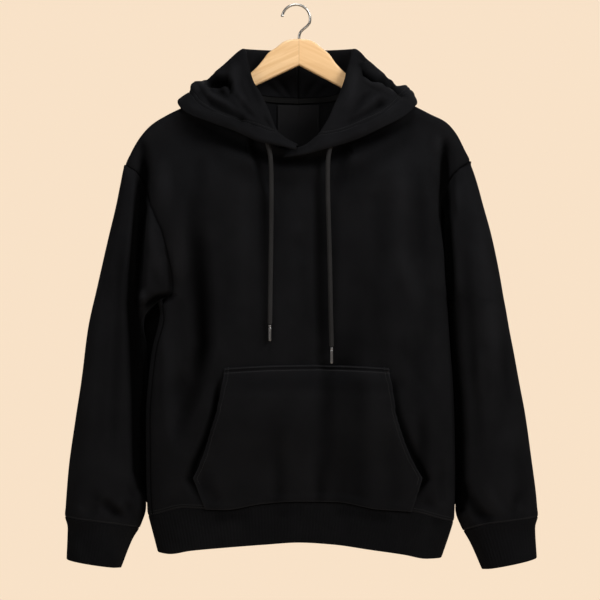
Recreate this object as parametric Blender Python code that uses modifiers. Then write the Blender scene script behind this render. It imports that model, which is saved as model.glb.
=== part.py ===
"""Pullover hoodie on a wooden hanger, as cut and sewn panels of real thickness (metres, +Z up).

The origin is the inside top of the hook's crown, where a rail carries the hanger.
+X is the wearer's left, -Y is the front, and the hanger's arms lie in the plane Y = 0.
Left and right are the wearer's, so the right sleeve hangs on the -X side.
Sizes and tables are in millimetres; solid() turns them into metres.
"""
import math

import bmesh
import bpy
import numpy as np
from mathutils import Vector
from mathutils.bvhtree import BVHTree

MM = 0.001

# ---------------------------------------------------------------- driving sizes
FLEECE = 2.4                # wall of the brushed-back fleece
RIB_WALL = 2.2              # wall of the hem and cuff rib
HOOD_WALL = 3.6             # shell and lining of the hood lie together
POCKET_WALL = 1.8
TAPE_WALL = 1.0
LABEL_WALL = 0.8
SEAM_GAP = 0.3              # clearance between two sewn pieces
SEAM_MITRE = 0.68           # share of the wall, a little over half, that a bend at a seam takes off
SEAM_EASE = 0.45            # more of it where the walls are faceted
PANEL_HALF_GAP = 0.6        # the front and back stop this far from Y = 0 on the shoulder

MIDLINE = 3.5               # X of the hanger's centre under the hook
SHOULDER_LEVEL = -241.8     # where the armhole starts, on the shoulder
UNDERARM_LEVEL = -445.5
UNDERARM_TRIM = 2.6         # the panels' corners stop short of the point where four pieces meet
HEM_LEVEL = -766.0          # mean height of the seam between body and hem rib
CUFF_LEVEL = -783.0         # mean height of the seam between sleeve and cuff
RIDGE_RADIUS = 9.0          # roll of the cloth over the hanger's arm
DRAPE = 130.0               # drop below the ridge by which the body is full
SQUARENESS = 0.62           # exponent of the body's level section, 1 is an ellipse
SHOULDER_REACHES = (0.0, 0.12, 0.24, 0.42, 0.62, 0.82)     # columns from the armhole to the neck
NECK_STEPS = {-1: (0.0, 0.06, 0.14, 0.30, 0.52, 0.76, 1.0),    # front, from neck point to centre
              1: (0.0, 0.10, 0.20, 0.40, 0.68, 1.0)}           # back
INNER_COLUMNS = 4           # sleeve columns from a seam to the crown of the sleeve
OUTER_COLUMNS = 8           # and from crown to crown round the outside
SLEEVE_COLUMNS = 2 * INNER_COLUMNS + OUTER_COLUMNS
PIECES = 12                 # steps between two points of a smooth curve

CORD_DIAMETER = 6.6
AGLET_DIAMETER = 5.0
AGLET_LENGTH = 24.0
HANGER_THICKNESS = 12.0
HOOK_WIRE = 3.9

FRONT, BACK = -1, 1


# ---------------------------------------------------------------- tables and curves
def smooth(value):
    """0 below 0, 1 above 1, and an even S between."""
    value = np.clip(value, 0.0, 1.0)
    return value * value * (3.0 - 2.0 * value)


class Table:
    """Rows keyed by their first column; the named columns follow smooth monotone curves."""

    def __init__(self, names, *rows):
        self.names = names.split()
        ordered = sorted(rows)
        self.keys = np.array([row[0] for row in ordered], float)
        self.values = np.array([row[1:] for row in ordered], float)
        step = np.diff(self.keys)[:, None]
        rate = np.diff(self.values, axis=0) / step
        self.slopes = np.zeros_like(self.values)
        self.slopes[0] = rate[0]
        self.slopes[-1] = rate[-1]
        for i in range(1, len(ordered) - 1):
            before, after = rate[i - 1], rate[i]
            same_way = before * after > 0
            total = np.where(same_way, before + after, 1.0)
            self.slopes[i] = np.where(same_way, 2.0 * before * after / total, 0.0)

    def at(self, key):
        """The named values at one key."""
        key = min(max(key, self.keys[0]), self.keys[-1])
        i = int(np.clip(np.searchsorted(self.keys, key) - 1, 0, len(self.keys) - 2))
        step = self.keys[i + 1] - self.keys[i]
        t = (key - self.keys[i]) / step
        values = ((2 * t**3 - 3 * t**2 + 1) * self.values[i]
                  + (t**3 - 2 * t**2 + t) * step * self.slopes[i]
                  + (3 * t**2 - 2 * t**3) * self.values[i + 1]
                  + (t**3 - t**2) * step * self.slopes[i + 1])
        return dict(zip(self.names[1:], values))


def curve_through(points, pieces=PIECES):
    """A dense smooth curve (centripetal Catmull-Rom) through the points."""
    points = np.array(points, float)
    points = points[np.insert(np.linalg.norm(np.diff(points, axis=0), axis=1) > 1e-6, 0, True)]
    padded = np.vstack([2 * points[0] - points[1], points, 2 * points[-1] - points[-2]])
    dense = [points[0]]
    for i in range(1, len(padded) - 2):
        p0, p1, p2, p3 = padded[i - 1:i + 3]
        k1 = np.linalg.norm(p1 - p0) ** 0.5
        k2 = k1 + np.linalg.norm(p2 - p1) ** 0.5
        k3 = k2 + np.linalg.norm(p3 - p2) ** 0.5
        for t in np.linspace(k1, k2, pieces + 1)[1:]:
            a1 = ((k1 - t) * p0 + t * p1) / k1
            a2 = ((k2 - t) * p1 + (t - k1) * p2) / (k2 - k1)
            a3 = ((k3 - t) * p2 + (t - k2) * p3) / (k3 - k2)
            b1 = ((k2 - t) * a1 + t * a2) / k2
            b2 = ((k3 - t) * a2 + (t - k1) * a3) / (k3 - k1)
            dense.append(((k2 - t) * b1 + (t - k1) * b2) / (k2 - k1))
    return np.array(dense)


def along(line, fractions, trim_start=0.0, trim_end=0.0):
    """Points at these fractions of a polyline's length, after a trim at each end."""
    line = np.array(line, float)
    lengths = np.concatenate([[0.0], np.cumsum(np.linalg.norm(np.diff(line, axis=0), axis=1))])
    places = trim_start + np.array(fractions) * (lengths[-1] - trim_start - trim_end)
    return np.stack([np.interp(places, lengths, line[:, k]) for k in range(line.shape[1])], axis=1)


# ---------------------------------------------------------------- the cut of the body
BODY = Table(
    "level right left front back",
    (-241.8, -259.5, 262.5, 42, 40),
    (-252.5, -249.0, 255.0, 44, 42),
    (-264.6, -243.0, 246.0, 47, 44),
    (-280.0, -239.5, 235.0, 50, 47),
    (-302.6, -236.7, 225.0, 53, 49),
    (-348.2, -226.0, 222.5, 58, 52),
    (-401.4, -213.9, 224.0, 61, 54),
    (-444.0, -204.7, 226.9, 62, 55),
    (-477.4, -207.8, 229.2, 62, 56),
    (-523.0, -218.4, 232.3, 62, 56),
    (-573.2, -224.5, 236.1, 61, 56),
    (-624.9, -228.0, 238.3, 60, 55),
    (-700.9, -227.5, 239.6, 56, 52),
    (-751.0, -226.0, 238.5, 51, 48),
    (-775.0, -222.5, 235.0, 48, 46))

# Seams as angles round the level section: 0 is the front centre, -90 the wearer's right side.
# The back panel runs on from the right seam, round the back, to the left seam.
SEAMS = Table(
    "level front_right front_left back_right back_left",
    (-241.8, -90.0, 90.0, -90.0, -270.0),
    (-252.5, -75.0, 73.0, -105.0, -253.0),
    (-264.6, -72.0, 69.0, -110.0, -248.0),
    (-280.0, -68.0, 72.0, -114.0, -245.0),
    (-302.6, -63.0, 78.0, -117.0, -243.0),
    (-348.2, -55.5, 82.0, -120.0, -242.0),
    (-401.4, -55.0, 84.0, -117.0, -245.0),
    (-424.0, -57.5, 85.0, -112.0, -251.0),
    (-436.0, -61.0, 86.5, -104.0, -258.0),
    (-442.5, -69.0, 89.0, -94.0, -265.0),
    (-445.5, -78.0, 92.0, -78.0, -268.0),
    (-462.0, -75.0, 96.0, -75.0, -264.0),
    (-477.4, -70.6, 98.0, -70.6, -262.0),
    (-523.0, -71.8, 100.0, -71.8, -260.0),
    (-775.0, -71.8, 100.0, -71.8, -260.0))

# The ridge over the hanger, from the armhole (0) to the neck point (1) on each side.
SHOULDER = Table(
    "reach right_x right_z left_x left_z",
    (0.00, -258.7, -241.8, 261.9, -235.8),
    (0.12, -246.5, -213.0, 250.5, -218.5),
    (0.24, -235.9, -194.7, 238.5, -199.0),
    (0.36, -222.0, -177.5, 222.5, -182.0),
    (0.50, -199.0, -163.5, 200.0, -169.5),
    (0.75, -141.0, -137.5, 144.5, -139.5),
    (1.00, -83.1, -111.1, 88.6, -111.1))

# Half necklines, from the neck point on the shoulder to the centre: offsets from the midline.
NECK_FRONT = Table(
    "step out y z",
    (0.00, 86.0, -PANEL_HALF_GAP, -111.1),
    (0.06, 85.2, -6.6, -113.8),
    (0.12, 84.0, -10.2, -120.5),
    (0.26, 79.5, -18.0, -140.0),
    (0.50, 65.0, -36.0, -176.0),
    (0.75, 40.0, -50.0, -212.0),
    (1.00, 0.0, -56.0, -227.5))
NECK_BACK = Table(
    "step out y z",
    (0.00, 86.0, PANEL_HALF_GAP, -111.1),
    (0.10, 85.0, 6.8, -113.8),
    (0.20, 82.0, 11.5, -120.5),
    (0.40, 72.0, 20.0, -132.0),
    (0.65, 45.0, 31.0, -140.0),
    (1.00, 0.0, 37.0, -142.0))

# Folds of the body: a soft line from its top to its foot, pressed in (+) or raised (-).
FOLDS = [dict(zip("x_top z_top x_foot z_foot half_width depth".split(), row)) for row in (
    (-229.0, -202.0, -240.0, -480.0, 15.0, 21.0),      # under the hanger's right tip
    (229.0, -204.0, 233.0, -335.0, 12.0, 20.0),        # under the hanger's left tip
    (-172.0, -320.0, -180.0, -690.0, 38.0, 9.0),       # long trough on the right of the front
    (-205.0, -470.0, -196.0, -700.0, 20.0, -4.0),      # ridge beside it
    (36.0, -270.0, 30.0, -740.0, 34.0, 5.0),           # shallow trough left of the middle
    (182.0, -230.0, 190.0, -620.0, 26.0, 6.0))]        # trough inside the left edge

# Height of the hem seam and of the hem's lower edge across the front and back.
HEM = Table(
    "x seam edge",
    (-223.0, -768.0, -824.0),
    (-205.0, -763.0, -828.0),
    (-170.0, -757.0, -822.5),
    (-110.0, -761.5, -817.0),
    (-50.0, -751.0, -812.5),
    (5.0, -747.0, -809.5),
    (60.0, -748.0, -813.0),
    (120.0, -759.0, -822.0),
    (175.0, -763.0, -830.0),
    (213.0, -771.0, -835.5),
    (236.0, -777.0, -833.5))

# The hem rib pulls in below its seam: t runs from the seam to the lower edge.
HEM_PULL = Table(
    "t width shift depth",
    (0.00, 1.000, 0.0, 1.00),
    (0.30, 0.980, -0.3, 0.96),
    (1.00, 0.931, -1.8, 0.88))

ARMHOLE_DROPS = (1.2, 4.5, 9, 18, 32, 52, 78, 108, 140, 172, 192)
CAP_LEVELS = [SHOULDER_LEVEL - drop for drop in ARMHOLE_DROPS]
BODY_LEVELS = [SHOULDER_LEVEL] + CAP_LEVELS + [UNDERARM_LEVEL, -470, -506, -552, -604, -656, -706, -742, HEM_LEVEL]


def crease(points):
    """Press the folds into points that face front or back."""
    points = np.array(points, float)
    x, y, z = points[:, 0], points[:, 1], points[:, 2]
    shift = np.zeros(len(points))
    for fold in FOLDS:
        way_down = (fold["z_top"] - z) / (fold["z_top"] - fold["z_foot"])
        centre = fold["x_top"] + (fold["x_foot"] - fold["x_top"]) * way_down
        across = np.clip(np.abs(x - centre) / fold["half_width"], 0.0, 1.0)
        ends = smooth(way_down / 0.3) * smooth((1.0 - way_down) / 0.3)
        shift += fold["depth"] * np.cos(across * math.pi / 2.0) ** 2 * ends
    depth = np.maximum(np.abs(y), PANEL_HALF_GAP)
    pressed = PANEL_HALF_GAP + (depth - PANEL_HALF_GAP) * np.exp(-shift / depth)
    points[:, 1] = np.sign(y) * np.minimum(pressed, np.abs(y))
    return points


def section_line(shape, start, end):
    """Part of the body's rounded level section between two angles, in degrees."""
    angles = np.radians(np.linspace(start, end, 73))
    sine, cosine = np.sin(angles), np.cos(angles)
    half = (shape["left"] - shape["right"]) / 2.0
    middle = (shape["left"] + shape["right"]) / 2.0
    depth = np.where(cosine > 0, shape["front"], shape["back"])
    x = middle + half * np.sign(sine) * np.abs(sine) ** SQUARENESS
    y = -depth * np.sign(cosine) * np.abs(cosine) ** SQUARENESS
    return np.stack([x, y], axis=1)


def neck_point(face, step, side):
    """A point of the neckline: step 0 is the shoulder, 1 the centre; side is -1 right, 1 left."""
    table = NECK_FRONT if face == FRONT else NECK_BACK
    row = table.at(step)
    return np.array([MIDLINE - 1.0 + side * row["out"], row["y"], row["z"]])


def top_edge(face):
    """The panel's upper edge (right shoulder, neckline, left shoulder) and the ridge over each point."""
    right, left = [], []
    for reach in SHOULDER_REACHES:
        row = SHOULDER.at(reach)
        right.append((row["right_x"], PANEL_HALF_GAP * face, row["right_z"]))
        left.insert(0, (row["left_x"], PANEL_HALF_GAP * face, row["left_z"]))
    steps = NECK_STEPS[face]
    neck = [neck_point(face, step, -1) for step in steps] + [neck_point(face, step, 1) for step in steps[-2::-1]]
    edge = np.array(right + neck + left)
    ridge = edge[:, 2].copy()
    ridge[len(right):-len(left)] = neck[0][2]
    return edge, ridge


def panel_row(face, level):
    """One row of the front or back panel, from the wearer's right seam to the left seam."""
    top, ridge = top_edge(face)
    seams = SEAMS.at(level)
    names = ("front_right", "front_left") if face == FRONT else ("back_right", "back_left")
    fullness = float(smooth((SHOULDER_LEVEL - level) / (SHOULDER_LEVEL - UNDERARM_LEVEL)))
    spread = (top[:, 0] - top[0, 0]) / (top[-1, 0] - top[0, 0])
    even = np.linspace(0.0, 1.0, len(top))
    section = along(section_line(BODY.at(level), seams[names[0]], seams[names[1]]),
                    spread * (1.0 - fullness) + even * fullness)
    width = section[-1, 0] - section[0, 0]
    share = (section[:, 0] - section[0, 0]) / width
    x = section[0, 0] + width * (spread * (1.0 - fullness) + share * fullness)
    z = level + (top[:, 2] - SHOULDER_LEVEL) * (1.0 - fullness)
    drop = np.maximum(top[:, 2] - z, 0.0)
    fallen = np.clip((ridge - z) / RIDGE_RADIUS, 0.0, 1.0)
    rolled = face * np.maximum(np.abs(top[:, 1]), RIDGE_RADIUS * np.sqrt(1.0 - (1.0 - fallen) ** 2))
    y = rolled + (section[:, 1] - rolled) * smooth(drop / DRAPE)
    hem = np.array([HEM.at(value)["seam"] - HEM_LEVEL for value in x])
    z = z + hem * smooth((-640.0 - level) / (-640.0 - HEM_LEVEL))
    return crease(np.stack([x, y, z], axis=1))


# ---------------------------------------------------------------- the cut of the sleeves
SLEEVE_NAMES = "level outer crown depth inner_x inner_y"
SLEEVES = {
    "right": Table(
        SLEEVE_NAMES,
        (-241.8, -260.0, -258.0, 2, -258, 0),
        (-252.5, -263.0, -256.0, 10, -248, 0),
        (-264.6, -265.5, -252.0, 15, -244, 0),
        (-280.0, -268.6, -249.0, 21, -240, 0),
        (-302.6, -273.1, -247.0, 28, -235, 0),
        (-348.2, -283.8, -250.0, 36, -225, 0),
        (-394.0, -293.7, -257.0, 41, -215, 0),
        (-432.0, -302.0, -264.0, 42, -210, 0),
        (-445.5, -305.0, -267.0, 42, -207, -21),
        (-455.0, -307.5, -267.0, 42, -217, -17),
        (-472.0, -311.6, -270.0, 42, -231, -12),
        (-486.0, -314.5, -273.0, 42, -233, -9),
        (-523.0, -321.8, -276.0, 42, -228, -4),
        (-573.2, -329.4, -279.0, 42, -228.5, 0),
        (-624.9, -337.0, -284.5, 41, -231.6, 0),
        (-700.9, -345.0, -288.0, 40, -231.2, 0),
        (-751.0, -349.0, -289.5, 38, -230, 0),
        (-790.0, -351.5, -296.0, 35, -241, 0)),
    "left": Table(
        SLEEVE_NAMES,
        (-241.8, 263.5, 261.5, 2, 261, 0),
        (-252.5, 267.5, 261.0, 10, 252, 0),
        (-264.6, 271.5, 259.0, 15, 247, 0),
        (-280.0, 276.0, 256.0, 21, 243, 0),
        (-302.6, 282.0, 254.0, 28, 238, 0),
        (-348.2, 294.5, 260.0, 36, 232, 0),
        (-394.0, 305.5, 268.0, 40, 230, 0),
        (-432.0, 313.5, 274.0, 41, 231, 0),
        (-445.5, 316.5, 276.0, 41, 231.5, 2),
        (-455.0, 319.0, 277.0, 41, 232.5, 2),
        (-472.0, 322.8, 279.0, 41, 233.6, 2),
        (-486.0, 326.0, 280.5, 41, 234.5, 2),
        (-523.0, 334.0, 286.0, 41, 236.8, 0),
        (-573.2, 342.5, 292.5, 41, 240.3, 0),
        (-624.9, 351.0, 297.5, 41, 242.2, 0),
        (-700.9, 359.0, 301.5, 40, 243.2, 0),
        (-751.0, 363.0, 303.0, 38, 242.2, 0),
        (-790.0, 366.0, 310.0, 35, 255, 0))}
TUBE_LEVELS = [UNDERARM_LEVEL - 3.0, -456, -466, -484, -512, -552, -604, -656, -706, -748, CUFF_LEVEL]
CUFF_TILT = 6.5             # the cuff seam is lower on its inner side by twice this
HALF = math.sqrt(0.5)


def sleeve_line(side, level, front_seam, back_seam):
    """One level of a sleeve, from its front seam point round the outside to its back one."""
    row = SLEEVES[side].at(level)
    points = []
    for seam, face in ((front_seam, FRONT), (back_seam, BACK)):
        crown = np.array([row["crown"], face * row["depth"]])
        shoulder = np.array([crown[0] + (seam[0] - crown[0]) * HALF, crown[1] + (seam[1] - crown[1]) * (1 - HALF)])
        elbow = np.array([crown[0] + (row["outer"] - crown[0]) * HALF, crown[1] * HALF])
        points.append([seam[:2], shoulder, crown, elbow])
    front, back = points
    return curve_through(front + [np.array([row["outer"], 0.0])] + back[::-1], PIECES)


def sleeve_points(line, trim_front=0.0, trim_back=0.0):
    """The sleeve's columns on one level line, so many from seam to crown and round the outside."""
    crown, far_crown = 2 * PIECES, 6 * PIECES
    front = along(line[:crown + 1], np.linspace(0.0, 1.0, INNER_COLUMNS + 1), trim_front)
    outside = along(line[crown:far_crown + 1], np.linspace(0.0, 1.0, OUTER_COLUMNS + 1))
    back = along(line[far_crown:], np.linspace(0.0, 1.0, INNER_COLUMNS + 1), 0.0, trim_back)
    return np.vstack([front[:-1], outside, back[1:]])


def unit(vector):
    """The vector at length 1."""
    return vector / np.linalg.norm(vector)


def seam_trim(inward, outward, seam, wall=FLEECE):
    """How far two walls stop short of the seam between them, measured along their rows.

    inward and outward run from the seam into the two pieces, and seam runs along it.
    """
    first = unit(np.cross(inward, seam))
    second = unit(np.cross(seam, outward))
    bend = math.acos(max(-1.0, min(1.0, float(np.dot(first, second)))))
    slant = np.linalg.norm(np.cross(unit(inward), unit(seam)))
    return (SEAM_GAP / 2.0 + SEAM_EASE + wall * SEAM_MITRE * math.tan(min(bend, 2.75) / 2.0)) / max(slant, 0.3)


def cap_rows(side):
    """Level rows of the sleeve's cap with the trims that its armhole seams need."""
    order = slice(None) if side == "right" else slice(None, None, -1)
    panels = {face: [panel_row(face, level)[order] for level in [SHOULDER_LEVEL] + CAP_LEVELS + [UNDERARM_LEVEL]]
              for face in (FRONT, BACK)}
    rows, trims = [], {FRONT: [], BACK: []}
    for i in range(1, len(CAP_LEVELS) + 1):
        front_seam, back_seam = panels[FRONT][i][0], panels[BACK][i][0]
        flat = sleeve_line(side, front_seam[2], front_seam, back_seam)
        line = crease(np.column_stack([flat, np.full(len(flat), front_seam[2])]))
        line[0], line[-1] = front_seam, back_seam
        whole = sleeve_points(line)
        for face, outward in ((FRONT, whole[1] - whole[0]), (BACK, whole[-2] - whole[-1])):
            above, here, below = panels[face][i - 1:i + 2]
            corner = UNDERARM_TRIM / 2.0 if i == len(CAP_LEVELS) else 0.0
            trims[face].append(corner + seam_trim(here[1] - here[0], outward, below[0] - above[0]))
        rows.append(sleeve_points(line, trims[FRONT][-1], trims[BACK][-1]))
    return rows, trims


def tube_row(side, level):
    """One closed ring of the sleeve below the underarm, tilted towards the cuff."""
    row = SLEEVES[side].at(level)
    inner = np.array([row["inner_x"], row["inner_y"]])
    line = sleeve_points(sleeve_line(side, level, inner, inner))[:-1]
    reach = (line[:, 0] - (row["outer"] + row["inner_x"]) / 2.0) / abs(row["outer"] - row["inner_x"]) * 2.0
    outward = -reach if side == "right" else reach
    tilt = CUFF_TILT * smooth((-640.0 - level) / (-640.0 - CUFF_LEVEL))
    return crease(np.column_stack([line, level + tilt * outward]))


# t runs from the cuff's seam, where it takes in the end of the sleeve, to its lower edge.
CUFF_NAMES = "t outer inner depth drop tilt"
CUFFS = {
    "right": Table(
        CUFF_NAMES,
        (0.00, -351.0, -238.0, 35.5, 0.0, 6.5),
        (0.28, -347.0, -247.5, 33.0, 16.0, 6.5),
        (1.00, -348.7, -267.1, 31.0, 64.5, 6.6)),
    "left": Table(
        CUFF_NAMES,
        (0.00, 365.6, 252.0, 35.5, 0.0, 6.5),
        (0.28, 361.5, 261.5, 33.0, 17.0, 7.5),
        (1.00, 363.5, 282.7, 31.0, 63.5, 8.3))}
RIB_GAP = 0.55              # between the mid-surfaces of a rib and the cloth above it


def cuff_ring(side, t):
    """One closed ring of a cuff: the sleeve's last ring, drawn in and lowered."""
    first, row = CUFFS[side].at(0.0), CUFFS[side].at(t)
    ring = tube_row(side, CUFF_LEVEL)
    share = (ring[:, 0] - first["inner"]) / (first["outer"] - first["inner"])
    x = row["inner"] + (row["outer"] - row["inner"]) * share
    y = ring[:, 1] * row["depth"] / first["depth"]
    z = ring[:, 2] - RIB_GAP - row["drop"] + (row["tilt"] - first["tilt"]) * (2.0 * share - 1.0)
    return np.stack([x, y, z], axis=1)


# ---------------------------------------------------------------- the cut of the hood
# Stations of each half, from its front end (0) over the shoulder (7) to the centre back (10).
# turn places the station on the neckline; roll is the fold line, edge the turned-out opening,
# and belly and bulge say how the cloth between them swells or hangs.
HOOD_NAMES = ("station turn roll_x roll_y roll_z edge_x edge_y edge_z "
              "belly_x belly_y belly_z bulge")
HOOD = {
    "right": Table(
        HOOD_NAMES,
        (0, 0.99, -1, -73, -215, -1, -77, -226, 1, -2, 0, -1),
        (1, 0.90, -20, -70, -204, -26, -74, -221, -1, -3, -1, -1),
        (2, 0.83, -32, -63, -192, -56, -69, -214, -4, -4, -2, -2),
        (3, 0.72, -43, -55, -165, -91, -60, -200, -7, -6, -7, -2),
        (4, 0.54, -55, -42, -138, -132, -49, -185, -10, -8, -9, -2),
        (5, 0.34, -68, -25, -113, -159, -35, -172, -13, -9, -14, -2),
        (6, 0.12, -77, -11, -80, -176, -17, -156, -11, -6, -17, -1),
        (7, -0.06, -80, 8, -66, -181, 14, -145, -19, 15, -14, 4),
        (8, -0.30, -65, 24, -66, -147, 80, -119, -16, 30, -108, 15),
        (9, -0.65, -32, 36, -66, -84, 100, -103, -10, 24, -198, 20),
        (10, -1.00, 2, 42, -66, 2, 108, -99, 0, 17, -232, 20)),
    "left": Table(
        HOOD_NAMES,
        (0, 1.06, -16, -59.5, -225, -20, -62.5, -234, 0, -0.5, 0, -0.5),
        (1, 0.93, 12, -63, -218, 12, -66.5, -229, 0, -2, -1, -1),
        (2, 0.83, 30, -62, -203, 42, -68, -221, 1, -4, -2, -1),
        (3, 0.71, 47, -56, -179, 84, -61, -208, 5, -6, -8, -2),
        (4, 0.54, 62, -43, -145, 130, -49, -187, 8, -8, -11, -2),
        (5, 0.34, 75, -25, -110, 162, -35, -170, 13, -9, -18, -2),
        (6, 0.12, 84, -11, -78, 178, -14, -155, 14, -6, -21, -1),
        (7, -0.06, 87, 8, -66, 182, 14, -148, 22, 15, -15, 4),
        (8, -0.30, 71, 24, -66, 151, 80, -119, 16, 30, -108, 15),
        (9, -0.65, 37, 36, -66, 89, 100, -103, 10, 24, -198, 20),
        (10, -1.00, 2, 42, -66, 2, 108, -99, 0, 17, -232, 20))}
HOOD_STATIONS = (0.0, 0.7, 1.4, 2.2, 3.2, 4.2, 5.2, 6.0, 6.6, 7.3, 8.1, 8.8, 9.4, 10.0)
HOOD_STRETCHES = ((0, 2, 3), (2, 4, 4), (4, 6, 5))     # from point, to point, columns
HOOD_MIDLINE = 2.5
HOOD_RISE = 3.8             # the hood starts this far inside the neckline
ARM_CLEARANCE = (0.2, 5.6)  # and further in and up where it crosses the hanger's arm
TIP_RISE = 8.0              # the right end stands on the left end at the front centre


def hood_foot(side, turn):
    """Where the hood leaves the neckline; turn 1 is the front centre, -1 the centre back."""
    sign = -1 if side == "right" else 1
    face = FRONT if turn > 0 else BACK
    step = abs(turn)
    if step > 1.0:
        sign, step = -sign, 2.0 - step
    point = neck_point(face, step, sign)
    ahead = neck_point(face, min(step + 0.02, 1.0), sign) - neck_point(face, max(step - 0.02, 0.0), sign)
    inward = np.array([-sign * abs(ahead[2]), 0.0, abs(ahead[0])])
    over_arm = float(smooth(1.0 - step / 0.28))
    lift = over_arm * np.array([-sign * ARM_CLEARANCE[0], 0.0, ARM_CLEARANCE[1]])
    return point + HOOD_RISE * inward / np.linalg.norm(inward) + lift


def hood_row(side, station):
    """One strip of the hood from the neckline over the roll to the opening's edge."""
    row = HOOD[side].at(station)
    foot = hood_foot(side, row["turn"])
    if side == "right":
        foot += TIP_RISE * float(smooth(2.0 - station)) * np.array([0.0, -0.75, 0.9])
    roll = np.array([row["roll_x"], row["roll_y"], row["roll_z"]])
    edge = np.array([row["edge_x"], row["edge_y"], row["edge_z"]])
    belly = (roll + edge) / 2.0 + np.array([row["belly_x"], row["belly_y"], row["belly_z"]])
    outward = np.array([0.0, row["bulge"], 0.0])
    stand = (foot + roll) / 2.0
    points = [foot, stand, roll, (roll + belly) / 2.0 - outward * 0.2, belly, (belly + edge) / 2.0 + outward, edge]
    line = curve_through(points)
    strip = [line[:1]]
    for first, last, columns in HOOD_STRETCHES:
        stretch = line[first * PIECES:last * PIECES + 1]
        strip.append(along(stretch, np.linspace(0.0, 1.0, columns + 1))[1:])
    return np.vstack(strip)


# ---------------------------------------------------------------- pocket, label, cords, hanger
POCKET_TOP = -547.0
POCKET_RISE = 5.0           # the top edge bows up in the middle
POCKET_OUTLINE = Table(
    "z right left",
    (-549.0, -108.2, 138.1),
    (-581.6, -111.6, 142.6),
    (-611.5, -117.2, 150.1),
    (-641.4, -126.6, 159.5),
    (-681.4, -138.5, 174.4),
    (-714.5, -155.5, 188.5))
POCKET_ROWS = [-549.0, -556, -566, -581.6, -598, -620, -641.4, -662, -681.4, -698]
POCKET_CORNER = -714.5      # below its corners the pocket narrows to the hem seam
POCKET_FOOT = (-137.5, 172.5)
POCKET_COLUMNS = 10
POCKET_SEAT = 0.9           # clearance where it is sewn on
POCKET_MOUTH = 7.6          # how far its open sides stand off the front
POCKET_BELLY = 9.2          # and its middle
POCKET_EASE = 34.0          # height over which it rises from a sewn edge

LABEL_WIDTH = 65.0
LABEL_TOP = -148.5
LABEL_FOOT = -211.5
LABEL_X = 2.6
TAPE_REACH = 0.62           # share of the back neckline that the tape covers, from its centre
TAPE_COLUMNS = 10
TAPE_HEIGHT = 8.0
TAPE_RISE = 3.5
TAPE_INSET = 4.3

CORDS = {
    "right": [(-44.5, -64.4, -210.0), (-43.0, -64.5, -215.0), (-41.3, -64.9, -221.0), (-39.4, -65.4, -232.0),
              (-38.2, -65.8, -248.0), (-37.8, -66.1, -275.0), (-37.9, -66.4, -318.0), (-38.3, -66.7, -362.0),
              (-39.3, -67.0, -430.0), (-40.0, -67.2, -484.4)],
    "left": [(51.6, -61.4, -213.5), (50.3, -61.8, -218.5), (48.7, -62.8, -225.0), (47.2, -64.2, -236.0),
             (46.7, -65.5, -252.0), (46.8, -66.0, -289.0), (48.4, -66.5, -345.0), (49.9, -66.9, -405.0),
             (51.0, -67.2, -462.0), (52.3, -67.3, -518.0)]}
CORD_STEP = 2.4             # points along a cord, in diameters

# Half outline of the hanger by its reach from the centre, right and left arms.
HANGER = Table(
    "reach right_top left_top right_base left_base",
    (0.0, -50.3, -50.3, -90.6, -90.6),
    (12.0, -51.2, -51.2, -96.3, -97.0),
    (22.0, -54.0, -54.5, -101.0, -102.3),
    (35.0, -63.5, -64.5, -107.2, -109.2),
    (46.0, -71.0, -73.5, -112.4, -115.0),
    (55.0, -82.4, -86.0, -116.7, -119.8),
    (63.0, -92.0, -95.0, -120.5, -124.0),
    (75.0, -103.4, -106.2, -126.2, -130.4),
    (88.0, -115.9, -117.2, -132.4, -137.3),
    (139.0, -140.4, -142.4, -156.6, -164.4),
    (185.0, -163.0, -170.0, -178.4, -188.8),
    (206.0, -175.6, -185.0, -189.6, -199.6),
    (213.0, -182.5, -192.0, -191.5, -201.0))
ARM_TIP = 217.5
HOOK_CENTRE = (-1.0, -19.4)
HOOK_RADIUS = 21.4


def hook_route():
    """Centre line of the hook: a round crown, then a neck down to the wood."""
    turns = np.radians(np.linspace(166.0, -18.0, 24))
    crown = [(HOOK_CENTRE[0] + HOOK_RADIUS * math.cos(a), 0.0, HOOK_CENTRE[1] + HOOK_RADIUS * math.sin(a))
             for a in turns]
    neck = [(15.2, 0.0, -31.2), (9.4, 0.0, -36.0), (5.2, 0.0, -41.0), (3.7, 0.0, -46.0), (3.5, 0.0, -50.0)]
    return crown + neck


# ---------------------------------------------------------------- building in the scene
def material(name, colour, roughness, metallic=0.0):
    """A Principled material with one colour."""
    finish = bpy.data.materials.new(name)
    finish.use_nodes = True
    shader = finish.node_tree.nodes["Principled BSDF"]
    shader.inputs["Base Color"].default_value = (*colour, 1.0)
    shader.inputs["Roughness"].default_value = roughness
    shader.inputs["Metallic"].default_value = metallic
    finish.diffuse_color = (*colour, 1.0)
    return finish


def solid(name, points, faces, wall, finish, offset=0.0):
    """An open surface in millimetres, thickened into a closed wall."""
    mesh = bpy.data.meshes.new(name)
    mesh.from_pydata([tuple(np.array(p) * MM) for p in points], [], faces)
    tidy = bmesh.new()
    tidy.from_mesh(mesh)
    bmesh.ops.remove_doubles(tidy, verts=tidy.verts, dist=1e-6)
    bmesh.ops.recalc_face_normals(tidy, faces=tidy.faces)
    tidy.to_mesh(mesh)
    tidy.free()
    piece = bpy.data.objects.new(name, mesh)
    PARTS.objects.link(piece)
    mesh.materials.append(finish)
    thicken = piece.modifiers.new("wall", "SOLIDIFY")
    thicken.thickness = wall * MM
    thicken.offset = offset
    return piece


def grid_faces(rows, columns, closed=False):
    """Quads of a grid of points, row by row; a closed grid joins its last column to its first."""
    width = columns if closed else columns - 1
    return [(r * columns + c, r * columns + (c + 1) % columns,
             (r + 1) * columns + (c + 1) % columns, (r + 1) * columns + c)
            for r in range(rows - 1) for c in range(width)]


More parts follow.
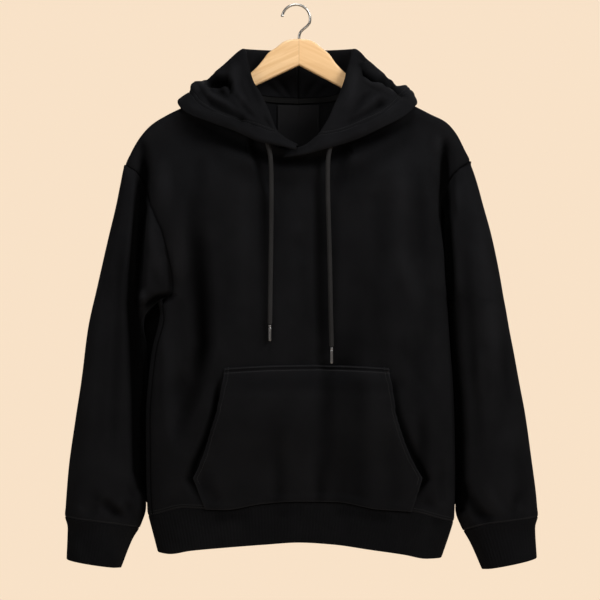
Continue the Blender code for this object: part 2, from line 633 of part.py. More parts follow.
def tube(name, route, diameter, finish, sides=2):
    """A round cord or wire along a poly line, with flat ends."""
    curve = bpy.data.curves.new(name, "CURVE")
    curve.dimensions = "3D"
    curve.bevel_depth = diameter / 2.0 * MM
    curve.bevel_resolution = sides
    curve.use_fill_caps = True
    spline = curve.splines.new("POLY")
    spline.points.add(len(route) - 1)
    for point, place in zip(spline.points, route):
        point.co = (*(np.array(place) * MM), 1.0)
    piece = bpy.data.objects.new(name, curve)
    PARTS.objects.link(piece)
    curve.materials.append(finish)
    return piece


def body_panel(face, name, trims):
    """Front or back panel with its armhole and side seams trimmed."""
    rows = []
    down = np.array([0.0, 0.0, -1.0])
    for i, level in enumerate(BODY_LEVELS):
        row, other = panel_row(face, level), panel_row(-face, level)
        if level == SHOULDER_LEVEL:
            right = left = SEAM_GAP
        elif level > UNDERARM_LEVEL:
            right, left = trims["right"][face][i - 1], trims["left"][face][i - 1]
        else:
            corner = UNDERARM_TRIM if level == UNDERARM_LEVEL else 0.0
            right = corner + seam_trim(row[1] - row[0], other[1] - other[0], down)
            left = corner + seam_trim(row[-2] - row[-1], other[-2] - other[-1], down)
        lengths = np.concatenate([[0.0], np.cumsum(np.linalg.norm(np.diff(row, axis=0), axis=1))])
        rows.append(along(row, lengths / lengths[-1], right, left))
    points = np.vstack(rows)
    faces = grid_faces(len(rows), len(rows[0]))
    return solid(name, points, faces, FLEECE, BLACK_FLEECE), rows, points, faces


def sleeve(side, cap):
    """Cap rows, open towards the body, then closed rings down to the cuff."""
    points = [point for row in cap for point in row]
    columns = SLEEVE_COLUMNS + 1
    faces = grid_faces(len(cap), columns)
    first_ring = len(points)
    rings = [tube_row(side, level) for level in TUBE_LEVELS]
    points += [point for ring in rings for point in ring]
    last_cap = first_ring - columns
    for c in range(SLEEVE_COLUMNS):
        faces.append((last_cap + c, last_cap + c + 1, first_ring + (c + 1) % SLEEVE_COLUMNS, first_ring + c))
    for a, b, c, d in grid_faces(len(rings), SLEEVE_COLUMNS, closed=True):
        faces.append((a + first_ring, b + first_ring, c + first_ring, d + first_ring))
    # The underarm: the last cap row's two ends close on the seam at the first ring's start.
    faces.append((last_cap + SLEEVE_COLUMNS, last_cap, first_ring))
    return solid(f"sleeve_{side}", points, faces, FLEECE, BLACK_FLEECE)


def cuff(side):
    """The rib cuff as closed rings."""
    rings = [cuff_ring(side, t) for t in (0.0, 0.28, 1.0)]
    return solid(f"cuff_{side}", np.vstack(rings), grid_faces(len(rings), SLEEVE_COLUMNS, closed=True),
                 RIB_WALL, BLACK_RIB)


def hem_rib():
    """One band round the whole hem: the body's last row, drawn in and lowered."""
    top = np.vstack([panel_row(FRONT, HEM_LEVEL), panel_row(BACK, HEM_LEVEL)[-2:0:-1]])
    middle = (top[:, 0].max() + top[:, 0].min()) / 2.0
    height = np.array([HEM.at(x)["seam"] - HEM.at(x)["edge"] for x in top[:, 0]])
    rings = []
    for t in (0.0, 0.3, 1.0):
        pull = HEM_PULL.at(t)
        rings.append(np.column_stack([middle + (top[:, 0] - middle) * pull["width"] + pull["shift"],
                                      top[:, 1] * pull["depth"],
                                      top[:, 2] - RIB_GAP - height * t]))
    return solid("hem_rib", np.vstack(rings), grid_faces(len(rings), len(top), closed=True), RIB_WALL, BLACK_RIB)


def hood_half(side):
    """One half of the lined hood."""
    rows = [hood_row(side, station) for station in HOOD_STATIONS]
    sign = -1 if side == "right" else 1
    across = np.cross(rows[-1] - rows[-2], np.gradient(rows[-1], axis=0))
    lean = np.abs(across[:, 0]) / np.linalg.norm(across, axis=1)
    rows[-1][:, 0] = HOOD_MIDLINE + sign * (SEAM_GAP / 2.0 + 0.05 + HOOD_WALL / 2.0 * lean)
    return solid(f"hood_{side}", np.vstack(rows), grid_faces(len(rows), len(rows[0])), HOOD_WALL, BLACK_FLEECE)


def surface_tree(points, faces):
    """A search tree on a panel's mid-surface, in millimetres."""
    return BVHTree.FromPolygons([Vector(point) for point in points], faces)


def patch_on(name, tree, face, rows, lift, wall, finish):
    """A piece sewn on a panel: rows of (x, z, rise) laid on its surface, moved out by lift and rise."""
    points = []
    for row in rows:
        for x, z, rise in row:
            hit, normal, _, _ = tree.ray_cast(Vector((x, face * 300.0, z)), Vector((0.0, -face, 0.0)))
            out = Vector(normal)
            if out.y * face < 0:
                out = -out
            points.append(np.array(hit + out * lift) + np.array([0.0, face * rise, 0.0]))
    return solid(name, points, grid_faces(len(rows), len(rows[0])), wall, finish)


def pocket_rows():
    """The pocket's rows of (x, z, rise): it stands off the front between its sewn edges."""
    rows = []
    for z in POCKET_ROWS:
        edge = POCKET_OUTLINE.at(z)
        xs = np.linspace(edge["right"], edge["left"], POCKET_COLUMNS + 1)
        bow = POCKET_RISE * float(smooth((z + 600.0) / 51.0))
        middle, half = (edge["left"] + edge["right"]) / 2.0, (edge["left"] - edge["right"]) / 2.0
        rows.append([(x, z + bow * (1.0 - ((x - middle) / half) ** 2)) for x in xs])
    corner = POCKET_OUTLINE.at(POCKET_CORNER)
    for share in (0.0, 0.35, 0.7, 1.0):
        right = corner["right"] + (POCKET_FOOT[0] - corner["right"]) * share
        left = corner["left"] + (POCKET_FOOT[1] - corner["left"]) * share
        rows.append([(x, POCKET_CORNER + (HEM.at(x)["seam"] + 1.5 - POCKET_CORNER) * share)
                     for x in np.linspace(right, left, POCKET_COLUMNS + 1)])
    standing = []
    for row in rows:
        belly = smooth((POCKET_TOP - row[0][1]) / POCKET_EASE) * smooth((row[0][1] - POCKET_CORNER) / POCKET_EASE)
        across = np.linspace(-1.0, 1.0, len(row))
        rises = belly * (POCKET_MOUTH + (POCKET_BELLY - POCKET_MOUTH) * (1.0 - across ** 2))
        standing.append([(x, z, rise) for (x, z), rise in zip(row, rises)])
    return standing


def pocket(tree):
    """The kangaroo pocket on the front panel, open at its slanted sides."""
    lift = FLEECE / 2.0 + POCKET_SEAT + POCKET_WALL / 2.0
    return patch_on("pocket", tree, FRONT, pocket_rows(), lift, POCKET_WALL, BLACK_FLEECE)


def neck_label(tree):
    """The plain woven label inside the back of the neck."""
    rows = [[(x, z, 0.0) for x in np.linspace(LABEL_X - LABEL_WIDTH / 2, LABEL_X + LABEL_WIDTH / 2, 4)]
            for z in np.linspace(LABEL_TOP, LABEL_FOOT, 4)]
    lift = -(FLEECE / 2.0 + SEAM_GAP + 0.5 + LABEL_WALL / 2.0)
    return patch_on("neck_label", tree, BACK, rows, lift, LABEL_WALL, LABEL_SATIN)


def neck_tape():
    """The tape that covers the back neck seam inside."""
    seam = np.array([neck_point(BACK, 1.0 - abs(step), -1 if step < 0 else 1)
                     for step in np.linspace(-TAPE_REACH, TAPE_REACH, TAPE_COLUMNS + 1)])
    ahead = np.gradient(seam, axis=0)
    inward = np.column_stack([ahead[:, 1], -ahead[:, 0], np.zeros(len(seam))])
    inward /= np.linalg.norm(inward, axis=1)[:, None]
    rows = [seam + inward * TAPE_INSET + np.array([0.0, 0.0, rise]) for rise in (TAPE_RISE, TAPE_RISE - TAPE_HEIGHT)]
    return solid("neck_tape", np.vstack(rows), grid_faces(2, len(seam)), TAPE_WALL, BLACK_TAPE)


def cord(side):
    """A round drawcord that hangs from the hood's casing, with its metal tip."""
    route = curve_through(CORDS[side])
    length = np.linalg.norm(np.diff(route, axis=0), axis=1).sum()
    count = int(length / (CORD_DIAMETER * CORD_STEP)) + 1
    line = along(route, np.linspace(0.0, 1.0, count))
    tube(f"cord_{side}", line, CORD_DIAMETER, CORD_GREY, sides=2)
    end = line[-1]
    bpy.ops.mesh.primitive_cylinder_add(
        vertices=16, radius=AGLET_DIAMETER / 2.0 * MM, depth=AGLET_LENGTH * MM,
        location=np.array([end[0], end[1], end[2] - SEAM_GAP - AGLET_LENGTH / 2.0]) * MM)
    tip = bpy.context.object
    tip.name = f"aglet_{side}"
    tip.data.materials.append(AGLET_METAL)
    for collection in list(tip.users_collection):
        collection.objects.unlink(tip)
    PARTS.objects.link(tip)


def hanger():
    """The wooden hanger, a flat outline with rounded edges, and its wire hook."""
    reaches = [0, 6, 12, 17, 22, 29, 35, 41, 46, 51, 55, 59, 63, 69, 75, 82, 88, 112, 139, 162, 185, 197, 206, 213]
    outline = []
    for sign, name in ((-1, "right"), (1, "left")):
        rows = [(reach, HANGER.at(reach)) for reach in reaches]
        top = [(MIDLINE + sign * reach, row[name + "_top"]) for reach, row in rows]
        base = [(MIDLINE + sign * reach, row[name + "_base"]) for reach, row in rows]
        tip_z = (top[-1][1] + base[-1][1]) / 2.0
        arm = top + [(MIDLINE + sign * ARM_TIP, tip_z + 3.5), (MIDLINE + sign * ARM_TIP, tip_z - 3.5)] + base[::-1]
        outline += arm[::-1][:-1] if sign < 0 else arm[:-1]
    rounding = 4.0
    curve = bpy.data.curves.new("hanger_wood", "CURVE")
    curve.dimensions = "2D"
    curve.fill_mode = "BOTH"
    curve.extrude = (HANGER_THICKNESS / 2.0 - rounding) * MM
    curve.bevel_depth = rounding * MM
    curve.bevel_resolution = 1
    curve.offset = -rounding * MM
    spline = curve.splines.new("POLY")
    spline.points.add(len(outline) - 1)
    for point, (x, z) in zip(spline.points, outline):
        point.co = (x * MM, z * MM, 0.0, 1.0)
    spline.use_cyclic_u = True
    wood = bpy.data.objects.new("hanger_wood", curve)
    wood.rotation_euler = (math.pi / 2.0, 0.0, 0.0)
    curve.materials.append(BEECH)
    PARTS.objects.link(wood)
    tube("hanger_hook", hook_route(), HOOK_WIRE, STEEL, sides=3)


def build():
    """All the pieces of the hoodie and its hanger."""
    caps, trims = {}, {}
    for side in ("right", "left"):
        caps[side], trims[side] = cap_rows(side)
    _, _, front_points, front_faces = body_panel(FRONT, "body_front", trims)
    _, _, back_points, back_faces = body_panel(BACK, "body_back", trims)
    for side in ("right", "left"):
        sleeve(side, caps[side])
        cuff(side)
        hood_half(side)
        cord(side)
    hem_rib()
    pocket(surface_tree(front_points, front_faces))
    neck_label(surface_tree(back_points, back_faces))
    neck_tape()
    hanger()


for old in list(bpy.data.objects):
    bpy.data.objects.remove(old)
PARTS = bpy.data.collections.new("pullover_hoodie")
bpy.context.scene.collection.children.link(PARTS)
BLACK_FLEECE = material("black_fleece", (0.0056, 0.0056, 0.0060), 0.92)
BLACK_RIB = material("black_rib", (0.0052, 0.0052, 0.0056), 0.94)
BLACK_TAPE = material("black_tape", (0.012, 0.012, 0.013), 0.85)
LABEL_SATIN = material("label_satin", (0.006, 0.006, 0.007), 0.45)
CORD_GREY = material("cord_grey", (0.027, 0.027, 0.028), 0.85)
AGLET_METAL = material("aglet_metal", (0.20, 0.20, 0.21), 0.35, 1.0)
BEECH = material("beech", (0.78, 0.52, 0.27), 0.45)
STEEL = material("hook_steel", (0.55, 0.54, 0.52), 0.25, 1.0)
build()
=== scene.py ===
"""Black pullover hoodie on a wooden hanger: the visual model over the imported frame.

Metres in the meshes, millimetres in the tables. +X is the wearer's left, -Y the front, +Z up,
and the origin is the inside top of the hook's crown. Left and right are the wearer's.
"""
import math

import bmesh
import bpy
import numpy as np
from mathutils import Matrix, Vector
from mathutils.bvhtree import BVHTree
from mathutils.geometry import tessellate_polygon


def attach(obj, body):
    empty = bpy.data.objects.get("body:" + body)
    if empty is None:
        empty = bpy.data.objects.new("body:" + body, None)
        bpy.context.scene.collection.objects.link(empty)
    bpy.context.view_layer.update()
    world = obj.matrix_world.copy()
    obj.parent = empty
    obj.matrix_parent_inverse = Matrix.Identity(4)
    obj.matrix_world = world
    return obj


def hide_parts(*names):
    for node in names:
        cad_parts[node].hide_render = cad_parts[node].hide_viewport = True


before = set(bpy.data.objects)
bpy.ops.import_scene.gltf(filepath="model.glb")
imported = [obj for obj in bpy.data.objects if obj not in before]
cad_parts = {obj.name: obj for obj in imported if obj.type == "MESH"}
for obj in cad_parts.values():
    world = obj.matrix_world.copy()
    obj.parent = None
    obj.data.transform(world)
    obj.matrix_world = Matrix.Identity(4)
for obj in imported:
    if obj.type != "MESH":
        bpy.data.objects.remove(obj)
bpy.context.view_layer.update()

MM = 0.001
FRONT, BACK = -1, 1
SIDES = ("right", "left")


# ---------------------------------------------------------------- cloth, cord and wire sizes
FLEECE = 2.4                # wall of the brushed-back fleece
RIB_WALL = 2.2
HOOD_WALL = 3.6             # shell and lining of the hood lie together
POCKET_WALL = 1.8
TAPE_WALL = 1.0
LABEL_WALL = 0.8
SEAM_GAP = 0.3
PRESSED_FLAT = 0.6          # a deep crease comes no nearer to Y = 0 than this
PANEL_HALF_GAP = 0.08       # between the mid-surfaces of front and back along the shoulder seam
CORD_DIAMETER = 6.6
BRAID_PICK = 5.2            # length in which a strand of the cord goes once round
AGLET_DIAMETER = 5.0
HANGER_THICKNESS = 12.0
HANGER_ROUNDING = 3.6
HOOK_WIRE = 3.9
POLE = 0.01                 # radius at a closed end

MIDLINE = 3.5               # X of the hanger's centre under the hook
SHOULDER_LEVEL = -241.8     # where the armhole starts, on the shoulder
UNDERARM_LEVEL = -445.5
HEM_LEVEL = -766.0          # mean height of the seam between body and hem rib
CUFF_LEVEL = -783.0         # mean height of the seam between sleeve and cuff
RIDGE_RADIUS = 9.0          # roll of the cloth over the hanger's arm
DRAPE = 130.0               # drop below the ridge by which the body is full
SQUARENESS = 0.62           # exponent of the body's level section, 1 is an ellipse
PIECES = 12                 # steps between two points of a smooth curve
HALF = math.sqrt(0.5)       # of a quarter of an ellipse, across and up


# ---------------------------------------------------------------- how finely the cloth is laid
SHOULDER_REACHES = [0.97 * i / 30.0 for i in range(31)]
NECK_STEPS = [(i / 42.0) ** 1.25 for i in range(43)]
RIM_STEPS = [0.25, 0.7, 1.35, 2.4]              # extra rows beside an edge, for its round rim
CAP_DROPS = [0.0, 0.25, 0.7, 1.35, 2.4, 3.8, 5.6, 8.0, 11.0, 14.0] + [17.0 + 2.95 * i for i in range(63)]
CAP_LEVELS = [SHOULDER_LEVEL - drop for drop in CAP_DROPS] + [UNDERARM_LEVEL]
BODY_LEVELS = (CAP_LEVELS + [UNDERARM_LEVEL - 4.0 * i for i in range(1, 80)]
               + [HEM_LEVEL + step for step in RIM_STEPS[::-1]] + [HEM_LEVEL])
TUBE_LEVELS = ([UNDERARM_LEVEL - 3.0 * i for i in range(1, 112)]
               + [CUFF_LEVEL + step for step in RIM_STEPS[::-1]] + [CUFF_LEVEL])
INNER_COLUMNS = 22          # sleeve columns from a seam to the crown of the sleeve
OUTER_COLUMNS = 52          # and from crown to crown round the outside
HOOD_STATIONS = [10.0 * (i / 170.0) for i in range(171)]
HOOD_STRETCHES = ((0, 2, 26), (2, 4, 44), (4, 6, 52))      # from point, to point, columns
RIB_PITCH = 4.9             # two ridges and two furrows of the 2x2 rib
RIB_COLUMNS = 6             # columns to a pitch
RIB_WAVE = (0.35, 1.0, 0.35, -0.6, -1.0, -0.6)  # height of each column
RIB_RELIEF = 0.24
CUFF_RIBS, HEM_RIBS = 50, 204
SLEEVE_CLEARANCE = 3.0      # between the mid-surfaces of the body and of the sleeve behind its edge


def smooth(value):
    """0 below 0, 1 above 1, and an even S between."""
    value = np.clip(value, 0.0, 1.0)
    return value * value * (3.0 - 2.0 * value)


class Table:
    """Rows keyed by their first column; the named columns follow smooth monotone curves."""

    def __init__(self, names, rows):
        self.names = names.split()
        ordered = np.array(sorted([float(value) for value in row.split()] for row in rows.strip().splitlines()))
        self.keys, self.values = ordered[:, 0], ordered[:, 1:]
        rate = np.diff(self.values, axis=0) / np.diff(self.keys)[:, None]
        before, after = rate[:-1], rate[1:]
        same_way = before * after > 0
        between = np.where(same_way, 2.0 * before * after / np.where(same_way, before + after, 1.0), 0.0)
        self.slopes = np.vstack([rate[:1], between, rate[-1:]])

    def at(self, key):
        """The named values at one key."""
        key = min(max(key, self.keys[0]), self.keys[-1])
        i = int(np.clip(np.searchsorted(self.keys, key) - 1, 0, len(self.keys) - 2))
        step = self.keys[i + 1] - self.keys[i]
        t = (key - self.keys[i]) / step
        values = ((2 * t**3 - 3 * t**2 + 1) * self.values[i]
                  + (t**3 - 2 * t**2 + t) * step * self.slopes[i]
                  + (3 * t**2 - 2 * t**3) * self.values[i + 1]
                  + (t**3 - t**2) * step * self.slopes[i + 1])
        return dict(zip(self.names[1:], values))


def curve_through(points, pieces=PIECES):
    """A dense smooth curve (centripetal Catmull-Rom) through the points."""
    points = np.array(points, float)
    points = points[np.insert(np.linalg.norm(np.diff(points, axis=0), axis=1) > 1e-6, 0, True)]
    padded = np.vstack([2 * points[0] - points[1], points, 2 * points[-1] - points[-2]])
    dense = [points[0]]
    for i in range(1, len(padded) - 2):
        p0, p1, p2, p3 = padded[i - 1:i + 3]
        k1 = np.linalg.norm(p1 - p0) ** 0.5
        k2 = k1 + np.linalg.norm(p2 - p1) ** 0.5
        k3 = k2 + np.linalg.norm(p3 - p2) ** 0.5
        for t in np.linspace(k1, k2, pieces + 1)[1:]:
            a1 = ((k1 - t) * p0 + t * p1) / k1
            a2 = ((k2 - t) * p1 + (t - k1) * p2) / (k2 - k1)
            a3 = ((k3 - t) * p2 + (t - k2) * p3) / (k3 - k2)
            b1 = ((k2 - t) * a1 + t * a2) / k2
            b2 = ((k3 - t) * a2 + (t - k1) * a3) / (k3 - k1)
            dense.append(((k2 - t) * b1 + (t - k1) * b2) / (k2 - k1))
    return np.array(dense)


def run_lengths(line):
    """Length from the start of a polyline to each of its points."""
    return np.concatenate([[0.0], np.cumsum(np.linalg.norm(np.diff(line, axis=0), axis=1))])


def points_at(line, lengths, places):
    """The polyline's points at these places along it."""
    return np.stack([np.interp(places, lengths, line[:, k]) for k in range(line.shape[1])], axis=1)


def along(line, fractions):
    """Points at these fractions of a polyline's length."""
    line = np.array(line, float)
    lengths = run_lengths(line)
    return points_at(line, lengths, np.array(fractions) * lengths[-1])


# ---------------------------------------------------------------- the cut of the body
BODY = Table("level right left front back", """
    -241.8 -259.5 262.5 42 40
    -252.5   -249   255 44 42
    -264.6   -243   246 47 44
      -280 -239.5   235 50 47
    -302.6 -236.7   225 53 49
    -348.2   -226 222.5 58 52
    -401.4 -213.9   224 61 54
      -444 -204.7 226.9 62 55
    -477.4 -207.8 229.2 62 56
      -523 -218.4 232.3 62 56
    -573.2 -224.5 236.1 61 56
    -624.9   -228 238.3 60 55
    -700.9 -227.5 239.6 56 52
      -751   -226 238.5 51 48
      -775 -222.5   235 48 46""")

# Seams as angles round the level section: 0 is the front centre, -90 the wearer's right side.
# The back panel runs on from the right seam, round the back, to the left seam.
SEAMS = Table("level front_right front_left back_right back_left", """
    -241.8   -90   90   -90 -270
    -252.5   -75   73  -105 -253
    -264.6   -72   69  -110 -248
      -280   -68   72  -114 -245
    -302.6   -63   78  -117 -243
    -348.2 -55.5   82  -120 -242
    -401.4   -55   84  -117 -245
      -424 -57.5   85  -112 -251
      -436   -61 86.5  -104 -258
    -442.5   -69   89   -94 -265
    -445.5   -78   92   -78 -268
      -462   -75   96   -75 -264
    -477.4 -70.6   98 -70.6 -262
      -523 -71.8  100 -71.8 -260
      -775 -71.8  100 -71.8 -260""")

# The ridge over the hanger, from the armhole (0) to the neck point (1) on each side.
SHOULDER = Table("reach right_x right_z left_x left_z", """
       0 -258.7 -241.8 261.9 -235.8
    0.12 -245.5 -214.6 252.5 -216.5
    0.24 -234.4 -197.4 241.5 -195.4
    0.36 -219.5 -181.6 225.6 -177.4
     0.5   -197 -167.4   202 -165.4
    0.75   -140 -140.4 145.5 -136.8
       1  -83.1 -111.1  88.6 -111.1""")

# Half necklines, from the neck point on the shoulder to the centre: offsets from the midline.
NECK_FRONT = Table("step out y z", f"""
       0   86 {-PANEL_HALF_GAP} -111.1
    0.06 85.2              -6.6 -113.8
    0.12   84             -10.2 -120.5
    0.26 79.5               -18   -140
     0.5   65               -36   -176
    0.75   40               -50   -212
       1    0               -56 -227.5""")
NECK_BACK = Table("step out y z", f"""
       0 86 {PANEL_HALF_GAP} -111.1
     0.1 85              6.8 -113.8
     0.2 82             11.5 -120.5
     0.4 72               20   -132
    0.65 45               31   -140
       1  0               37   -142""")

# Folds of the body: a soft line from its top to its foot, pressed in (+) or raised (-).
FOLDS = [dict(zip("x_top z_top x_foot z_foot half_width depth".split(), row)) for row in (
    (-229.0, -202.0, -240.0, -480.0, 15.0, 21.0),      # under the hanger's right tip
    (229.0, -204.0, 233.0, -335.0, 12.0, 20.0),        # under the hanger's left tip
    (-172.0, -320.0, -180.0, -690.0, 38.0, 12.0),      # long trough on the right of the front
    (-205.0, -470.0, -196.0, -700.0, 20.0, -4.0),      # ridge beside it
    (36.0, -270.0, 30.0, -740.0, 34.0, 8.0),           # shallow trough left of the middle
    (182.0, -230.0, 190.0, -620.0, 26.0, 9.0))]        # trough inside the left edge

# Height of the hem seam and of the hem's lower edge across the front and back.
HEM = Table("x seam edge", """
    -223   -774 -827.5
    -205   -769   -829
    -170 -760.7 -823.5
    -110   -763   -818
     -50 -753.4 -813.6
       5   -750 -810.4
      60   -751 -813.4
     120   -762 -821.5
     175 -766.5 -829.3
     213 -776.8   -836
     236   -783   -836""")

# The hem rib pulls in below its seam: t runs from the seam to the lower edge.
HEM_PULL = Table("t width shift depth", """
      0     1    0    1
    0.3  0.98 -0.3 0.96
      1 0.931 -1.8 0.88""")


def crease(points):
    """Press the folds into points that face front or back."""
    points = np.array(points, float)
    x, y, z = points[:, 0], points[:, 1], points[:, 2]
    shift = np.zeros(len(points))
    for fold in FOLDS:
        way_down = (fold["z_top"] - z) / (fold["z_top"] - fold["z_foot"])
        centre = fold["x_top"] + (fold["x_foot"] - fold["x_top"]) * way_down
        across = np.clip(np.abs(x - centre) / fold["half_width"], 0.0, 1.0)
        ends = smooth(way_down / 0.3) * smooth((1.0 - way_down) / 0.3)
        shift += fold["depth"] * np.cos(across * math.pi / 2.0) ** 2 * ends
    depth = np.maximum(np.abs(y), PRESSED_FLAT)
    pressed = PRESSED_FLAT + (depth - PRESSED_FLAT) * np.exp(-shift / depth)
    points[:, 1] = np.sign(y) * np.minimum(pressed, np.abs(y))
    return points


def section_line(shape, start, end):
    """Part of the body's rounded level section between two angles, in degrees."""
    angles = np.radians(np.linspace(start, end, 73))
    sine, cosine = np.sin(angles), np.cos(angles)
    half = (shape["left"] - shape["right"]) / 2.0
    middle = (shape["left"] + shape["right"]) / 2.0
    depth = np.where(cosine > 0, shape["front"], shape["back"])
    x = middle + half * np.sign(sine) * np.abs(sine) ** SQUARENESS
    y = -depth * np.sign(cosine) * np.abs(cosine) ** SQUARENESS
    return np.stack([x, y], axis=1)


def neck_point(face, step, side):
    """A point of the neckline: step 0 is the shoulder, 1 the centre; side is -1 right, 1 left."""
    row = (NECK_FRONT if face == FRONT else NECK_BACK).at(step)
    return np.array([MIDLINE - 1.0 + side * row["out"], row["y"], row["z"]])


def top_edge(face):
    """The panel's upper edge (right shoulder, neckline, left shoulder) and the ridge over each point."""
    right, left = [], []
    for reach in SHOULDER_REACHES:
        row = SHOULDER.at(reach)
        right.append((row["right_x"], PANEL_HALF_GAP * face, row["right_z"]))
        left.insert(0, (row["left_x"], PANEL_HALF_GAP * face, row["left_z"]))
    neck = ([neck_point(face, step, -1) for step in NECK_STEPS]
            + [neck_point(face, step, 1) for step in NECK_STEPS[-2::-1]])
    edge = np.array(right + neck + left)
    ridge = edge[:, 2].copy()
    ridge[len(right):-len(left)] = neck[0][2]
    return edge, ridge


def panel_row(face, level):
    """One row of the front or back panel, from the wearer's right seam to the left seam."""
    top, ridge = top_edge(face)
    seams = SEAMS.at(level)
    names = ("front_right", "front_left") if face == FRONT else ("back_right", "back_left")
    fullness = float(smooth((SHOULDER_LEVEL - level) / (SHOULDER_LEVEL - UNDERARM_LEVEL)))
    spread = (top[:, 0] - top[0, 0]) / (top[-1, 0] - top[0, 0])
    even = np.linspace(0.0, 1.0, len(top))
    section = along(section_line(BODY.at(level), seams[names[0]], seams[names[1]]),
                    spread * (1.0 - fullness) + even * fullness)
    width = section[-1, 0] - section[0, 0]
    share = (section[:, 0] - section[0, 0]) / width
    x = section[0, 0] + width * (spread * (1.0 - fullness) + share * fullness)
    z = level + (top[:, 2] - SHOULDER_LEVEL) * (1.0 - fullness)
    drop = np.maximum(top[:, 2] - z, 0.0)
    fallen = np.clip((ridge - z) / RIDGE_RADIUS, 0.0, 1.0)
    rolled = face * np.maximum(np.abs(top[:, 1]), RIDGE_RADIUS * np.sqrt(1.0 - (1.0 - fallen) ** 2))
    y = rolled + (section[:, 1] - rolled) * smooth(drop / DRAPE)
    hem = np.array([HEM.at(value)["seam"] - HEM_LEVEL for value in x])
    z = z + hem * smooth((TAPER_LEVEL - level) / (TAPER_LEVEL - HEM_LEVEL))
    return crease(np.stack([x, y, z], axis=1))


# ---------------------------------------------------------------- the cut of the sleeves
SLEEVE_NAMES = "level outer crown depth inner_x inner_y"
SLEEVES = {
    "right": Table(SLEEVE_NAMES, """
        -241.8   -260   -258  2   -258   0
        -252.5   -263   -256 10   -248   0
        -264.6 -265.5   -252 15   -244   0
          -280 -268.6   -249 21   -240   0
        -302.6 -273.1   -247 28   -235   0
        -348.2 -283.8   -250 36   -225   0
          -394 -293.7   -257 41   -215   0
          -432   -302   -264 42   -210   0
        -445.5   -305   -267 42   -207 -21
          -455 -307.5   -267 42   -217 -17
          -472 -311.6   -270 42   -231 -12
          -486 -314.5   -273 42   -233  -9
          -523   -320   -276 42   -228  -4
        -573.2 -326.6   -279 42 -228.5   0
        -624.9 -334.6 -284.5 41 -231.6   0
        -700.9   -345   -288 40 -231.2   0
          -751   -349 -289.5 38   -230   0
          -790 -351.5   -296 35 -243.5   0"""),
    "left": Table(SLEEVE_NAMES, """
        -241.8 263.5 261.5  2   261 0
        -252.5 267.5   261 10   252 0
        -264.6 271.5   259 15   247 0
          -280   276   256 21   243 0
        -302.6   282   254 28   238 0
        -348.2 294.5   260 36   232 0
          -394 304.5   268 40   230 0
          -432 311.3   274 41   231 0
        -445.5 313.2   276 41 231.5 2
          -455 315.8   277 41 232.5 2
          -472 318.6   279 41 233.6 2
          -486 320.8 280.5 41 234.5 2
          -523   328   286 41 236.8 0
        -573.2 337.2 292.5 41 240.3 0
        -624.9 346.8 297.5 41 242.2 0
        -700.9   357 301.5 40 243.2 0
          -751   363   303 38 242.2 0
          -790   366   310 35   258 0""")}
CUFF_TILT = 6.5             # the cuff seam is lower on its inner side by twice this
CUFF_DROOP = {"right": 4.0, "left": 8.0}        # and its inner end by this much more
SLEEVE_AXIS = {"right": -285.0, "left": 295.0}
TAPER_LEVEL = -640.0        # below this a sleeve tilts towards its cuff, and the body to its hem
SNUG_END = -760.0           # a sleeve stays close behind the body down to here


def sleeve_line(side, level, front_seam, back_seam):
    """One level of a sleeve, from its front seam point round the outside to its back one."""
    row = SLEEVES[side].at(level)
    points = []
    for seam, face in ((front_seam, FRONT), (back_seam, BACK)):
        crown = np.array([row["crown"], face * row["depth"]])
        shoulder = np.array([crown[0] + (seam[0] - crown[0]) * HALF, crown[1] + (seam[1] - crown[1]) * (1 - HALF)])
        elbow = np.array([crown[0] + (row["outer"] - crown[0]) * HALF, crown[1] * HALF])
        points.append([seam[:2], shoulder, crown, elbow])
    front, back = points
    return curve_through(front + [np.array([row["outer"], 0.0])] + back[::-1], PIECES)


def sleeve_points(line):
    """The sleeve's columns on one level line, so many from seam to crown and round the outside."""
    crown, far_crown = 2 * PIECES, 6 * PIECES
    inner = np.linspace(0.0, 1.0, INNER_COLUMNS + 1)
    outside = along(line[crown:far_crown + 1], np.linspace(0.0, 1.0, OUTER_COLUMNS + 1))
    return np.vstack([along(line[:crown + 1], inner)[:-1], outside, along(line[far_crown:], inner)[1:]])


def snug(side, level, line):
    """The back of the sleeve's inner side lies close behind the body's edge, so that no gap shows."""
    body = BODY.at(level)
    sign = -1 if side == "right" else 1
    deep = np.clip(line[:, 1] / body["back"], 0.0, 1.0)
    turn = np.sqrt(1.0 - np.clip(deep, 0.0, 0.999) ** (2.0 / SQUARENESS))
    middle, half = (body["left"] + body["right"]) / 2.0, (body["left"] - body["right"]) / 2.0
    side_x = middle + sign * (half * turn ** SQUARENESS + SLEEVE_CLEARANCE)
    row = SLEEVES[side].at(level)
    inner = smooth((line[:, 0] - row["crown"]) * -sign / abs(row["crown"] - row["inner_x"]) * 1.4)
    share = (smooth((line[:, 1] - 12.0) / 16.0) * inner * smooth((UNDERARM_LEVEL + 6.0 - level) / 12.0)
             * smooth((level - SNUG_END) / 24.0))
    closer = np.where((side_x - line[:, 0]) * sign < 0.0, side_x, line[:, 0])
    line = line.copy()
    line[:, 0] += (closer - line[:, 0]) * share
    return line


def droop(side, outward):
    """How much lower the cuff's seam is at its inner end."""
    return CUFF_DROOP[side] * np.clip(-outward, 0.0, 1.0) ** 3


def tube_row(side, level):
    """One closed ring of the sleeve below the underarm, tilted towards the cuff."""
    row = SLEEVES[side].at(level)
    inner = np.array([row["inner_x"], row["inner_y"]])
    line = snug(side, level, sleeve_points(sleeve_line(side, level, inner, inner))[:-1])
    reach = (line[:, 0] - (row["outer"] + row["inner_x"]) / 2.0) / abs(row["outer"] - row["inner_x"]) * 2.0
    outward = -reach if side == "right" else reach
    share = smooth((TAPER_LEVEL - level) / (TAPER_LEVEL - CUFF_LEVEL))
    return crease(np.column_stack([line, level + (CUFF_TILT * outward - droop(side, outward)) * share]))


